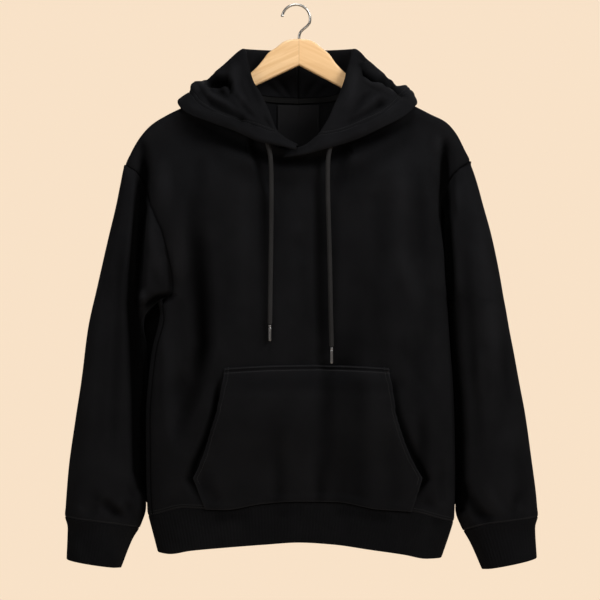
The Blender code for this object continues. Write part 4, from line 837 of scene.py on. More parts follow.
    "hood_back": """
    -60 -80 14 0, -66 -150 16 4, -52 -230 14 0;
    -112 -110 13 0, -108 -170 15 4.4, -84 -240 13 0;
    -24 -90 12 0, -28 -170 13 -2.4, -20 -260 11 0;
    64 -80 14 0, 70 -150 16 4.2, 56 -232 14 0;
    116 -110 13 0, 112 -172 15 4, 86 -244 13 0;
    28 -90 12 0, 32 -176 13 -2.4, 24 -262 11 0;
    -96 -238 12 0, -44 -276 13 3.6, 4 -288 13 3.2, 50 -274 13 3.4, 98 -240 12 0;
    -140 -130 10 0, -128 -190 12 -2.6, -96 -262 10 0;
    142 -132 10 0, 130 -192 12 -2.6, 98 -262 10 0"""}.items()}


def fold_press(points, folds):
    """How deep the folds that pass over each point press it in; a ridge presses less than 0."""
    press = np.zeros(len(points))
    place = points[:, [0, 2]]
    for nodes in folds:
        nearest = np.full(len(points), np.inf)
        depth = np.zeros(len(points))
        for a, b in zip(nodes[:-1], nodes[1:]):
            run = b[:2] - a[:2]
            t = np.clip((place - a[:2]) @ run / (run @ run), 0.0, 1.0)
            width = a[2] + (b[2] - a[2]) * t
            away = np.linalg.norm(place - (a[:2] + t[:, None] * run), axis=1) / width
            closer = away < nearest
            nearest[closer] = away[closer]
            depth[closer] = (a[3] + (b[3] - a[3]) * smooth(t))[closer]
        press += depth * np.cos(np.clip(nearest, 0.0, 1.0) * math.pi / 2.0) ** 2
    return press


def vertex_normals(points, faces):
    """Area-weighted normals of a mesh of quads."""
    corners = points[faces]
    flat = np.cross(corners[:, 2] - corners[:, 0], corners[:, 3] - corners[:, 1])
    normals = np.zeros_like(points)
    for k in range(4):
        np.add.at(normals, faces[:, k], flat)
    return normals / np.maximum(np.linalg.norm(normals, axis=1), 1e-12)[:, None]


def grid_faces(rows, columns, closed=False):
    """Quads of a grid of points, row by row; a closed grid joins its last column to its first."""
    r, c = np.meshgrid(np.arange(rows - 1), np.arange(columns if closed else columns - 1), indexing="ij")
    r, c, after = r.ravel(), c.ravel(), (c.ravel() + 1) % columns
    return np.column_stack([r * columns + c, r * columns + after, (r + 1) * columns + after, (r + 1) * columns + c])


def lengths_along(grid, axis):
    """Arc length from the grid's first line of points, along an axis."""
    steps = np.linalg.norm(np.diff(grid, axis=axis), axis=2)
    return np.insert(np.cumsum(steps, axis=axis), 0, 0.0, axis=axis)


class Lay:
    """A cloth grid with its distances to its own four sides, in millimetres."""

    def __init__(self, grid, joined_from=None):
        self.grid = grid
        self.rows, self.columns = grid.shape[:2]
        across, down = lengths_along(grid, 1), lengths_along(grid, 0)
        self.left, self.right = across, across[:, -1:] - across
        self.top, self.bottom = down, down[-1:] - down
        self.u = across - across[:, -1:] / 2.0
        self.v = down
        self.index = np.arange(self.rows * self.columns).reshape(self.rows, self.columns)
        self.open_rows = self.rows if joined_from is None else joined_from
        if joined_from is not None:
            self.index[joined_from:, -1] = self.index[joined_from:, 0]

    def side_distance(self):
        """Distance to the nearest edge of the cloth; a joined tube has none at its sides."""
        side = np.minimum(self.left, self.right)
        side[self.open_rows:] = 1e6
        return np.minimum(side, np.minimum(self.top, self.bottom))


LAYS = {}


def cloth(name, lay, wall, finish, outward, relief=None, folds=(), bulk=None, give=CLOTH_GIVE, painted_light_and_shade=None):
    """A sheet with two skins and round rims on a grid of points.

    outward gives the direction, at each point, that the sheet's face looks in. relief gives a
    shift for each grid point, folds which points each list of folds presses, and bulk scales the
    wall. No fold goes deeper than give; how hard one is pressed is kept for the finish, which
    darkens the colour there as painted shade, and painted_light_and_shade adds painted light and
    painted shade of its own to that.
    """
    points = lay.grid.reshape(-1, 3).copy()
    faces = lay.index.ravel()[grid_faces(lay.rows, lay.columns)]
    normals = vertex_normals(points, faces)
    sign = np.sign(np.sum(normals * outward(points)))
    press = np.zeros(len(points))
    for chosen, lines in folds:
        press += fold_press(points, lines) * chosen(points, normals * sign)
    shift = -give * np.tanh(press / give)
    if give < HOOD_GIVE:
        # A trough needs cloth that faces front or back, with depth behind it, clear of the lower seam.
        room = (smooth(np.abs(normals[:, 1]) / 0.85) * smooth((np.abs(points[:, 1]) - 2.0) / 12.0)
                * smooth((lay.bottom.ravel() - 1.0) / 16.0))
        shift = np.where(press > 0.0, shift * room, shift)
    # Painted light and shade: painted_light_and_shade adds to press only, not to the shape, and press is painted into
    # the colour in full also where a trough had no room to be pressed in.
    if painted_light_and_shade is not None:
        press += painted_light_and_shade(lay).ravel()
    if relief is not None:
        shift += relief(lay).ravel()
    points += normals * sign * shift[:, None]
    points = points[lay.index.ravel()]
    normals = vertex_normals(points, faces)[lay.index.ravel()] * sign
    rim = np.clip(lay.side_distance().ravel() / (wall / 2.0), 0.0, 1.0)
    half = wall / 2.0 * np.sqrt(1.0 - (1.0 - rim) ** 2)
    if bulk is not None:
        half = half * bulk(lay).ravel()
    outer, inner = points + normals * half[:, None], points - normals * half[:, None]
    lay.outer = outer.reshape(lay.grid.shape)
    lay.normals = normals.reshape(lay.grid.shape)
    lay.middle = points.reshape(lay.grid.shape)
    LAYS[name] = lay
    count = len(points)
    both = np.arange(2 * count)
    both[:count] = lay.index.ravel()
    both[count:] = lay.index.ravel() + count
    shut = np.isclose(half, 0.0)
    both[count:][shut] = both[:count][shut]
    raw = grid_faces(lay.rows, lay.columns)
    skins = np.vstack([raw, raw[:, ::-1] + count] if sign > 0 else [raw[:, ::-1], raw + count])
    uv = np.column_stack([lay.u.ravel(), -lay.v.ravel()]) * MM
    piece, shown = shell_mesh(name, np.vstack([outer, inner]), both, skins, np.vstack([uv, uv]), finish)
    keep_painted_shading(piece, np.tile(press, 2)[shown])
    return piece


def placed(name, data):
    """Puts a mesh, a lamp or a camera in the scene."""
    thing = bpy.data.objects.new(name, data)
    bpy.context.scene.collection.objects.link(thing)
    return thing


def keep_painted_shading(piece, press):
    """Keeps each point's press, in millimetres, for the piece's finish, which darkens the colour by it as painted
    shade, and lightens it as painted light below 0.
    """
    piece.data.attributes.new("press", "FLOAT", "POINT").data.foreach_set("value", press.astype(np.float32))


def shell_mesh(name, points, joined, faces, uv, finish):
    """A smooth mesh in metres from points, with shared points joined and a cloth UV map.

    Gives the piece and which of the points it keeps.
    """
    used = joined[faces]
    kept = np.array([len(set(face)) >= 3 for face in used.tolist()])
    faces, used = faces[kept], used[kept]
    shown, place = np.unique(used, return_inverse=True)
    polygons, corners = [], []
    for face, corner in zip(place.reshape(used.shape).tolist(), faces.tolist()):
        first = {}
        for vertex, source in zip(face, corner):
            first.setdefault(vertex, source)
        polygons.append(list(first))
        corners.extend(first.values())
    mesh = bpy.data.meshes.new(name)
    mesh.from_pydata((points[shown] * MM).tolist(), [], polygons)
    mesh.uv_layers.new(name="cloth").data.foreach_set("uv", uv[corners].astype(np.float32).ravel())
    mesh.polygons.foreach_set("use_smooth", np.ones(len(mesh.polygons), bool))
    mesh.materials.append(finish)
    mesh.update()
    return placed(name, mesh), shown


def closed_index(rows, columns):
    """Point numbers of a grid whose last column is its first one."""
    index = np.arange(rows * columns).reshape(rows, columns)
    index[:, -1] = index[:, 0]
    return index


def round_mesh(name, grid, u, v, finish, turned):
    """A piece of rings, each closed, that comes to a point at both its ends."""
    index = closed_index(*grid.shape[:2])
    index[0], index[-1] = index[0, 0], index[-1, 0]
    uv = np.column_stack([np.broadcast_to(side, grid.shape[:2]).ravel() for side in (u, v[:, None] * MM)])
    faces = grid_faces(*grid.shape[:2])
    return shell_mesh(name, grid.reshape(-1, 3), index.ravel(), faces[:, ::-1] if turned else faces, uv, finish)[0]


def refine_edges(row):
    """The row's points with extra ones beside its two ends, for round rims."""
    lengths = run_lengths(row)
    return points_at(row, lengths, np.sort(np.concatenate([lengths, RIM_STEPS, lengths[-1] - np.array(RIM_STEPS)])))


def seam_roll(lay, sides, depth=0.7, reach=2.0):
    """Cloth that dips into a seam and swells a little beside it."""
    near = np.full(lay.u.shape, 1e6)
    for side in sides:
        near = np.minimum(near, getattr(lay, side))
    return -depth * np.exp(-(near / reach) ** 2) + 0.45 * np.exp(-((near - 6.5) / 4.0) ** 2)


def hem_painted_light(lay):
    """Painted light along a sewn lower edge, and painted shade along the sewn sides."""
    sides = np.minimum(lay.left, lay.right)
    sides[lay.open_rows:] = 1e6
    return 7.0 * np.exp(-(sides / 1.8) ** 2) - 9.0 * np.exp(-((lay.bottom - 0.8) / 1.2) ** 2)


def pocket_painted_light(lay):
    """Painted highlights along the pocket's turned edges, and painted shade in the groove between the stitches of its
    top.
    """
    sides = np.minimum(lay.left, lay.right)
    light = (np.exp(-((lay.top - 1.2) / 1.1) ** 2) + np.exp(-((lay.top - 8.0) / 1.2) ** 2)
             + np.exp(-((sides - 0.8) / 1.1) ** 2) + 1.2 * np.exp(-((lay.bottom - 0.8) / 1.2) ** 2))
    return 6.0 * np.exp(-((lay.top - 4.4) / 1.7) ** 2) - 7.0 * light


def stitch_dent(distance, lines, depth=0.45, width=1.1):
    """The dent that rows of topstitching press at these distances from an edge."""
    return sum(-depth * np.exp(-((distance - line) / width) ** 2) for line in lines)


def facing(face, softness=0.35):
    """Chooses the points of a piece that look to the front or to the back."""
    return lambda points, normals: smooth(normals[:, 1] * face / softness)


def sideways(points, normals):
    """Chooses the points that look to the left or the right."""
    return smooth(np.abs(normals[:, 0]) / 0.7)


def towards(*way):
    """Outward is one way for the whole piece."""
    return lambda points: np.tile(way, (len(points), 1))


# ---------------------------------------------------------------- the garment's pieces
def dress_panel(face, name):
    """Front or back panel of the body."""
    grid = np.array([refine_edges(panel_row(face, level)) for level in BODY_LEVELS])
    column = np.arange(grid.shape[1])
    lay = Lay(ease_rows(grid, len(CAP_LEVELS) - 1, smooth((np.minimum(column, column[::-1]) - 8) / 12.0)))
    relief = lambda lay: seam_roll(lay, ("left", "right", "bottom"))
    return cloth(name, lay, FLEECE, BLACK_FLEECE, towards(0.0, face, 0.0),
                 relief, [(facing(face), FOLD_AND_SHADE_LINES[name]), (sideways, FOLD_AND_SHADE_LINES["body_sides"])]
                 + [(facing(face), FOLD_AND_SHADE_LINES["pocket"])] * (face == FRONT), painted_light_and_shade=hem_painted_light)


def ease_rows(grid, at, columns):
    """The cloth runs smoothly past the underarm; columns says how freely each column may move."""
    row = np.arange(len(grid))
    held = smooth((row - at + 10) / 7.0) * smooth((at + 26 - row) / 12.0)
    share = 0.5 * np.outer(held, columns)[:, :, None]
    for _ in range(30):
        grid += ((np.roll(grid, 1, 0) + np.roll(grid, -1, 0)) / 2.0 - grid) * share
    return grid


def dress_sleeve(side):
    """A sleeve: its cap is open to the body, and below the underarm it is a tube."""
    order = 0 if side == "right" else -1
    rows = []
    for level in CAP_LEVELS[1:]:
        seams = [panel_row(face, level)[order] for face in (FRONT, BACK)]
        flat = sleeve_line(side, seams[0][2], *seams)
        line = crease(np.column_stack([flat, np.full(len(flat), seams[0][2])]))
        line[0], line[-1] = seams
        rows.append(refine_edges(sleeve_points(line)))
    cap = len(rows)
    for level in TUBE_LEVELS:
        ring = tube_row(side, level)
        rows.append(refine_edges(np.vstack([ring, ring[:1]])))
    column = np.arange(len(rows[0]))
    free = smooth((column - 4) / 6.0) * smooth((column[::-1] - 17) / 10.0)
    lay = Lay(ease_rows(np.array(rows), cap, free), joined_from=cap - 1)
    axis = np.array([SLEEVE_AXIS[side], 0.0, 0.0])
    outward = lambda points: (points - axis) * np.array([1.0, 1.0, 0.0])
    relief = lambda lay: seam_roll(lay, ("bottom",)) + np.where(
        np.arange(lay.rows)[:, None] < cap - 1, seam_roll(lay, ("left", "right")), 0.0)
    return cloth(f"sleeve_{side}", lay, FLEECE, BLACK_FLEECE, outward, relief,
                 [(facing(FRONT), FOLD_AND_SHADE_LINES[f"sleeve_{side}"]), (facing(BACK), FOLD_AND_SHADE_LINES[f"sleeve_{side}_back"])],
                 painted_light_and_shade=hem_painted_light)


def rib_band(name, ring_at, count):
    """A band of 2x2 rib, folded double at its lower edge; ring_at(t) is its line at depth t."""
    columns = count * RIB_COLUMNS
    depths = [0.0, 0.012, 0.03, 0.06] + [0.06 + 0.9 * i / 12.0 for i in range(1, 13)] + [0.985, 1.0]
    rings = []
    for t in depths:
        ring = ring_at(t)
        rings.append(along(np.vstack([ring, ring[:1]]), np.linspace(0.0, 1.0, columns + 1))[:-1])
    grid = np.array(rings)
    points = grid.reshape(-1, 3)
    normals = vertex_normals(points, grid_faces(len(rings), columns, closed=True)).reshape(grid.shape)
    away = (grid - points.mean(axis=0)) * np.array([1.0, 1.0, 0.0])
    normals *= np.sign(np.sum(normals * away))
    wave = np.tile(np.array(RIB_WAVE) * RIB_RELIEF, count)[None, :, None]
    down = np.array(depths)[:, None, None]
    held = smooth(down / 0.05) * smooth((1.0 - down) / 0.03)
    lay = LAYS[name] = Lay(grid)
    lay.normals = normals
    lay.outer = grid + normals * (RIB_WALL / 2.0 + wave * held)
    inner = grid - normals * (RIB_WALL / 2.0 - wave * held * 0.6)
    turn = grid[-1:] + np.array([0.0, 0.0, -RIB_WALL / 2.0])
    top = grid[:1] + np.array([0.0, 0.0, RIB_WALL * 0.25])
    loop = np.concatenate([top, lay.outer, turn, inner[::-1]])
    index = closed_index(len(loop), columns + 1)
    index = np.vstack([index, index[:1]])
    wide = np.concatenate([loop, loop[:, :1]], axis=1)
    wide = np.concatenate([wide, wide[:1]])
    u = np.broadcast_to(np.linspace(0.0, RIB_PITCH * count, columns + 1), wide.shape[:2])
    v = np.broadcast_to(np.arange(len(wide))[:, None] * 4.0, wide.shape[:2])
    uv = np.column_stack([u.ravel(), -v.ravel()]) * MM
    faces = grid_faces(*wide.shape[:2])
    turned = np.cross(wide[1, 1] - wide[1, 0], wide[2, 0] - wide[1, 0]) @ away[0, 0] > 0
    points = wide.reshape(-1, 3)
    piece, shown = shell_mesh(name, points, index.ravel(), faces if turned else faces[:, ::-1], uv, BLACK_RIB)
    # The rib's shape takes none of these folds: the rib lines only paint shade into the front's colour, and painted
    # light where their depth is below 0.
    keep_painted_shading(piece, (fold_press(points, FOLD_AND_SHADE_LINES["rib_painted_shade"]) * (points[:, 1] < 0.0))[shown])
    return piece


def dress_hem():
    """The rib hem: the body's last row, drawn in and lowered."""
    top = np.vstack([panel_row(FRONT, HEM_LEVEL), panel_row(BACK, HEM_LEVEL)[-2:0:-1]])
    middle = (top[:, 0].max() + top[:, 0].min()) / 2.0
    height = np.array([HEM.at(x)["seam"] - HEM.at(x)["edge"] for x in top[:, 0]])

    def ring_at(t):
        pull = HEM_PULL.at(t)
        return np.column_stack([middle + (top[:, 0] - middle) * pull["width"] + pull["shift"],
                                top[:, 1] * pull["depth"], top[:, 2] - RIB_GAP - height * t])
    return rib_band("hem_rib", ring_at, HEM_RIBS)


def dress_hood(side):
    """One half of the lined hood, from the neckline over its roll to the cased edge."""
    rows = [refine_edges(hood_row(side, station)) for station in HOOD_STATIONS]
    sign = -1 if side == "right" else 1
    rows[-1][:, 0] = HOOD_MIDLINE - sign * 0.35
    grid = np.array(rows)
    lay = Lay(grid)
    relief = lambda lay: hood_relief(lay) + seam_roll(lay, ("bottom",), 0.5)
    lapel = lambda points: towards(0.0, -1.0, 0.3)(points) * (points[:, 1:2] < -20.0)
    folds = [(front_of_hood, FOLD_AND_SHADE_LINES[f"hood_{side}"]), (inside_of_hood, FOLD_AND_SHADE_LINES["hood_inside"]),
             (back_of_hood, FOLD_AND_SHADE_LINES["hood_back"])]
    return cloth(f"hood_{side}", lay, HOOD_WALL, BLACK_FLEECE, lapel, relief, folds, hood_bulk, give=HOOD_GIVE)


def front_of_hood(points, normals):
    """The turned-out front of the hood."""
    return smooth((0.55 - normals[:, 1]) / 0.3) * smooth((72.0 - points[:, 1]) / 24.0)


def inside_of_hood(points, normals):
    """The stand of the hood at the back of the neck, which looks to the front."""
    return smooth(-normals[:, 1] / 0.3) * smooth((points[:, 1] - 12.0) / 10.0) * smooth((60.0 - points[:, 1]) / 8.0)


def back_of_hood(points, normals):
    """The hood's crown, which hangs down the back."""
    return smooth(normals[:, 1] / 0.3) * smooth((points[:, 1] - 15.0) / 20.0)


def hood_relief(lay):
    """The casing swells between its edge and its two rows of stitches."""
    edge = lay.right
    casing = 0.9 * np.sin(np.clip(edge / CASING, 0.0, 1.0) * math.pi) ** 0.7
    return casing + stitch_dent(edge, CASING_STITCHES, 0.9, 1.3)


def hood_bulk(lay):
    """The casing is thicker, as it holds the cord."""
    return 1.0 + 0.18 * smooth((CASING - lay.right) / 4.0)


def laid_on(panel, face, lift, rows):
    """A cloth's grid from rows of (x, z, rise), lifted off a dressed panel of the body."""
    under = LAYS[panel]
    tree = BVHTree.FromPolygons(under.middle.reshape(-1, 3).tolist(), grid_faces(under.rows, under.columns).tolist())
    grid = []
    for row in rows:
        line = []
        for x, z, rise in row:
            hit, normal, _, _ = tree.ray_cast(Vector((x, face * 300.0, z)), Vector((0.0, -face, 0.0)))
            out = normal if normal.y * face > 0 else -normal
            line.append(np.array(hit + out * lift) + np.array([0.0, face * rise, 0.0]))
        grid.append(refine_edges(np.array(line)))
    return Lay(np.array(grid))


def dress_pocket():
    """The kangaroo pocket, laid on the dressed front panel."""
    lay = laid_on("body_front", FRONT, FLEECE / 2.0 + POCKET_SEAT + POCKET_WALL / 2.0, pocket_rows())

    def relief(lay):
        side = np.minimum(lay.left, lay.right)
        return (stitch_dent(lay.top, POCKET_TOP_STITCHES, 0.55) + 0.5 * np.exp(-((lay.top - 5.0) / 2.2) ** 2)
                + stitch_dent(side, (POCKET_SIDE_STITCH,), 0.45) + 0.5 * np.exp(-((side - 3.2) / 2.0) ** 2))
    return cloth("pocket", lay, POCKET_WALL, BLACK_FLEECE, towards(0.0, -1.0, 0.0),
                 relief, [(facing(FRONT), FOLD_AND_SHADE_LINES["pocket"])], give=POCKET_GIVE, painted_light_and_shade=pocket_painted_light)


def dress_label():
    """The plain woven label inside the back of the neck, folded under at its sides."""
    lift = -(FLEECE / 2.0 + SEAM_GAP + 0.5 + LABEL_WALL / 2.0)
    across = np.linspace(LABEL_X - LABEL_WIDTH / 2, LABEL_X + LABEL_WIDTH / 2, 42)
    down = np.linspace(LABEL_TOP, LABEL_FOOT, 40)
    lay = laid_on("body_back", BACK, lift, [[(x, z, 0.0) for x in across] for z in down])

    def relief(lay):
        side = np.minimum(lay.left, lay.right)
        curl = 1.1 * smooth((lay.v - 40.0) / 23.0)
        return 0.35 * np.exp(-((side - 1.5) / 1.2) ** 2) - 0.3 * np.exp(-((side - 3.6) / 0.7) ** 2) + curl
    return cloth("neck_label", lay, LABEL_WALL, LABEL_SATIN, towards(0.0, -1.0, 0.0), relief)


def dress_tape():
    """The tape over the back neck seam."""
    seam = np.array([neck_point(BACK, 1.0 - abs(step), -1 if step < 0 else 1)
                     for step in np.linspace(-TAPE_REACH, TAPE_REACH, 121)])
    ahead = np.gradient(seam, axis=0)
    inward = np.column_stack([ahead[:, 1], -ahead[:, 0], np.zeros(len(seam))])
    inward /= np.linalg.norm(inward, axis=1)[:, None]
    rises = TAPE_RISE - TAPE_HEIGHT * np.array([0.0, 0.03, 0.08, 0.15, 0.3, 0.5, 0.7, 0.85, 0.92, 0.97, 1.0])
    grid = np.array([refine_edges(seam + inward * TAPE_INSET + np.array([0.0, 0.0, rise])) for rise in rises])
    lay = Lay(grid)
    relief = lambda lay: stitch_dent(np.minimum(lay.top, lay.bottom), (1.4,), 0.3, 0.7)
    return cloth("neck_tape", lay, TAPE_WALL, BLACK_TAPE, towards(0.0, -1.0, 0.0), relief)


def sweep(name, path, radius, sides, finish, relief=None):
    """A round tube along a path in millimetres; radius is one for each point, closed at both ends."""
    path = np.array(path, float)
    ahead = np.gradient(path, axis=0)
    ahead /= np.linalg.norm(ahead, axis=1)[:, None]
    side = np.cross(ahead[0], [0.0, 1.0, 0.3])
    rings = []
    turns = np.linspace(0.0, 2.0 * math.pi, sides, endpoint=False)
    run = run_lengths(path)
    for point, way, size, length in zip(path, ahead, radius, run):
        side = side - way * (side @ way)
        side /= np.linalg.norm(side)
        up = np.cross(way, side)
        reach = size + (relief(turns, length) if relief is not None else 0.0) * min(size, 1.0) * np.ones(sides)
        rings.append(point + (np.cos(turns) * reach)[:, None] * side + (np.sin(turns) * reach)[:, None] * up)
    grid = np.array(rings)
    grid = np.concatenate([grid, grid[:, :1]], axis=1)
    grid[0], grid[-1] = path[0], path[-1]
    turned = np.cross(grid[3, 1] - grid[3, 0], grid[4, 0] - grid[3, 0]) @ (grid[3, 0] - path[3]) > 0
    return round_mesh(name, grid, np.linspace(0.0, 1.0, sides + 1), run, finish, not turned)


# ---------------------------------------------------------------- hanger
def dress_wood():
    """The wooden hanger: its outline with well rounded edges, flat front and back."""
    outline = []
    for sign, name in ((-1, "right"), (1, "left")):
        rows = [(MIDLINE + sign * reach, HANGER.at(reach))
                for reach in ARM_REACHES]
        top = [(x, row[name + "_top"]) for x, row in rows]
        base = [(x, row[name + "_base"]) for x, row in rows]
        tip_z = (top[-1][1] + base[-1][1]) / 2.0
        round_end = [(MIDLINE + sign * (ARM_TIP - inset), tip_z + rise)
                     for inset, rise in ((1.2, 3.6), (0.0, 0.0), (1.2, -3.6))]
        tip = curve_through([top[-1], *round_end, base[-1]], 6)[1:-1].tolist()
        arm = top + tip + base[::-1]
        outline += arm[::-1][:-1] if sign < 0 else arm[:-1]
    outline = np.array(outline)
    ahead = np.roll(outline, -1, axis=0) - np.roll(outline, 1, axis=0)
    ahead /= np.linalg.norm(ahead, axis=1)[:, None]
    inward = np.column_stack([ahead[:, 1], -ahead[:, 0]])
    inward *= np.sign(np.sum(inward * (outline.mean(axis=0) - outline)))
    half_front = [(HANGER_ROUNDING * (1.0 - math.sin(angle)),
                   HANGER_ROUNDING - HANGER_THICKNESS / 2.0 - HANGER_ROUNDING * math.cos(angle))
                  for angle in np.linspace(0.0, math.pi / 2.0, 6)]
    profile = half_front + [(inset, -y) for inset, y in half_front[::-1]]
    count = len(outline)
    points = []
    for inset, y in profile:
        ring = outline + inward * inset
        points.append(np.column_stack([ring[:, 0], np.full(count, y), ring[:, 1]]))
    flat = tessellate_polygon([[Vector((x, z, 0.0)) for x, _, z in points[0]]])
    last = (len(profile) - 1) * count
    caps = [list(face) for face in flat] + [[last + k for k in face[::-1]] for face in flat]
    mesh = bpy.data.meshes.new("hanger_wood")
    mesh.from_pydata((np.vstack(points) * MM).tolist(), [],
                     grid_faces(len(profile), count, closed=True).tolist() + caps)
    turned = bmesh.new()
    turned.from_mesh(mesh)
    bmesh.ops.recalc_face_normals(turned, faces=turned.faces)
    turned.to_mesh(mesh)
    turned.free()
    mesh.polygons.foreach_set("use_smooth", np.ones(len(mesh.polygons), bool))
    mesh.materials.append(BEECH)
    return placed("hanger_wood", mesh)


def dress_hook():
    """The polished wire hook with a round tip, set in a small hole."""
    route = curve_through(hook_route(), 4)
    ahead = route[0] - route[1]
    ahead /= np.linalg.norm(ahead)
    radius = HOOK_WIRE / 2.0
    tip = [route[0] + ahead * reach for reach in (2.6, 2.45, 2.0, 1.2, 0.4)]
    path = np.vstack([tip, route, [[MIDLINE, 0.0, -52.0]]])
    sizes = [POLE, 1.2, 2.0, 2.35, 2.3, 2.1, 1.98] + [radius] * (len(path) - 8) + [POLE]
    return sweep("hanger_hook", path, sizes, 22, STEEL)


# ---------------------------------------------------------------- drawcord
def dress_cord(side):
    """A braided drawcord end; gives the piece and the line that it follows."""
    route = curve_through(CORDS[side])
    length = float(np.linalg.norm(np.diff(route, axis=0), axis=1).sum())
    count = int(length / 0.75)
    fractions = np.concatenate([[0.0, 0.0008, 0.002], np.linspace(0.004, 0.996, count), [0.998, 0.9992, 1.0]])
    line = along(route, fractions)
    ends = np.minimum(fractions, 1.0 - fractions) * length
    radius = CORD_DIAMETER / 2.0 * (1.0 - 0.35 * np.exp(-(ends / 0.5) ** 2)) * (
        1.0 - 0.16 * np.exp(-((1.0 - fractions) * length / 2.2) ** 2))
    radius[[0, -1]] = POLE

    def braid(turns, run):
        """Crossing strands of a 16-strand braid."""
        along_pick = 2.0 * math.pi * run / BRAID_PICK
        return 0.17 * np.maximum(np.cos(8.0 * turns + along_pick), np.cos(8.0 * turns - along_pick)) - 0.08
    piece = sweep(f"cord_{side}", line, radius, 32, CORD_GREY, braid)
    return piece, along(route, np.linspace(0.0, 1.0, 30)), length


def dress_aglet(side):
    """The metal tip: a thin tube crimped over the cord, with a rolled lower end."""
    x, y, z = CORDS[side][-1]
    half = AGLET_DIAMETER / 2.0
    outline = [(0.0, 0.6), (0.15, half - 0.25), (0.5, half), (2.2, half), (2.9, half - 0.28), (3.6, half - 0.28),
               (4.3, half), (9.5, half - 0.04), (19.0, half - 0.08), (22.3, half - 0.08), (23.3, half - 0.3),
               (23.95, half - 0.9), (23.8, half - 1.4), (23.1, half - 1.6), (23.1, 0.01)]
    profile = [(z - 0.1 - (a + (b - a) * t), ra + (rb - ra) * t)
               for (a, ra), (b, rb) in zip(outline[:-1], outline[1:]) for t in np.linspace(0.0, 1.0, 4)[:-1]]
    profile[0] = (profile[0][0], POLE)
    return lathe(f"aglet_{side}", x, y, profile + [(z - 0.1 - outline[-1][0], POLE)], 28, AGLET_METAL)


def lathe(name, x, y, profile, sides, finish):
    """A turned piece about an upright line: profile is rows of (height, radius) from pole to pole."""
    turns = np.linspace(0.0, 2.0 * math.pi, sides + 1)
    grid = np.array([[(x + r * math.cos(a), y + r * math.sin(a), z) for a in turns] for z, r in profile])
    grid[[0, -1], :, :2] = (x, y)
    run = run_lengths(np.array(profile))
    return round_mesh(name, grid, turns / (2.0 * math.pi), run, finish, True)


# ---------------------------------------------------------------- topstitching
def stitch_tree():
    """Threads laid end to end along the edges of a mesh, one for each pitch."""
    tree, w, given, out = node_group("stitch_row", "GeometryNodeTree", [
        ("Seams", "Geometry", None), ("Pitch", "Float", 0.0034), ("Stitch Length", "Float", 0.0027),
        ("Thread", "Float", 0.0006), ("Finish", "Material", None)], [("Stitches", "Geometry")])
    curve = w.put("GeometryNodeMeshToCurve", {"Mesh": given["Seams"]})
    spread = w.put("GeometryNodeResampleCurve", {"Curve": curve.outputs[0], "Length": given["Pitch"]}, mode="LENGTH")
    tangent = w.put("GeometryNodeInputTangent")
    turn = w.put("FunctionNodeAlignRotationToVector", {"Vector": tangent.outputs[0]}, axis="X")
    bead = w.put("GeometryNodeMeshUVSphere", {"Segments": 6, "Rings": 5, "Radius": 0.5})
    size = w.put("ShaderNodeCombineXYZ", {"X": given["Stitch Length"], "Y": given["Thread"], "Z": given["Thread"]})
    thread = w.put("GeometryNodeTransform", {"Geometry": bead.outputs["Mesh"], "Scale": size.outputs[0]})
    laid = w.put("GeometryNodeInstanceOnPoints", {"Points": spread.outputs[0], "Instance": thread.outputs[0],
                                                  "Rotation": turn.outputs[0]})
    real = w.put("GeometryNodeRealizeInstances", {"Geometry": laid.outputs[0]})
    soft = w.put("GeometryNodeSetShadeSmooth", {"Geometry": real.outputs[0]})
    sewn = w.put("GeometryNodeSetMaterial", {"Geometry": soft.outputs[0], "Material": given["Finish"]})
    w.feed(out, {"Stitches": sewn.outputs[0]})
    return tree


def seam_line(name, side, distance, last=1.0, first=0.0, lift=0.12):
    """A line on a piece's outer skin at a distance from one of its sides, in millimetres."""
    lay = LAYS[name]
    places, normals, away = lay.outer, lay.normals, getattr(lay, side)
    if side in ("top", "bottom"):
        places, normals, away = places.transpose(1, 0, 2), normals.transpose(1, 0, 2), away.T
    if side in ("bottom", "right"):
        places, normals, away = places[:, ::-1], normals[:, ::-1], away[:, ::-1]
    line = []
    for i in range(int(len(places) * first), int(len(places) * last)):
        k = np.interp(distance, away[i], np.arange(away.shape[1]))
        a = min(int(k), away.shape[1] - 2)
        t = k - a
        spot = places[i, a] * (1 - t) + places[i, a + 1] * t
        line.append(spot + (normals[i, a] * (1 - t) + normals[i, a + 1] * t) * lift)
    return np.array(line)


def topstitch(name, lines, tree):
    """Rows of stitches along lines, as one plain mesh."""
    points, edges = [], []
    for line in lines:
        start = len(points)
        points.extend((line * MM).tolist())
        edges.extend((k, k + 1) for k in range(start, len(points) - 1))
    mesh = bpy.data.meshes.new(f"{name}_lines")
    mesh.from_pydata(points, edges, [])
    source = placed(f"{name}_lines", mesh)
    sew = source.modifiers.new("sew", "NODES")
    sew.node_group = tree
    for item in tree.interface.items_tree:
        if item.name in STITCH:
            sew[item.identifier] = STITCH[item.name]
        if item.name == "Finish":
            sew[item.identifier] = THREAD
    result = bpy.data.meshes.new_from_object(source.evaluated_get(bpy.context.evaluated_depsgraph_get()))
    result.name = name
    bpy.data.objects.remove(source)
    return placed(name, result)


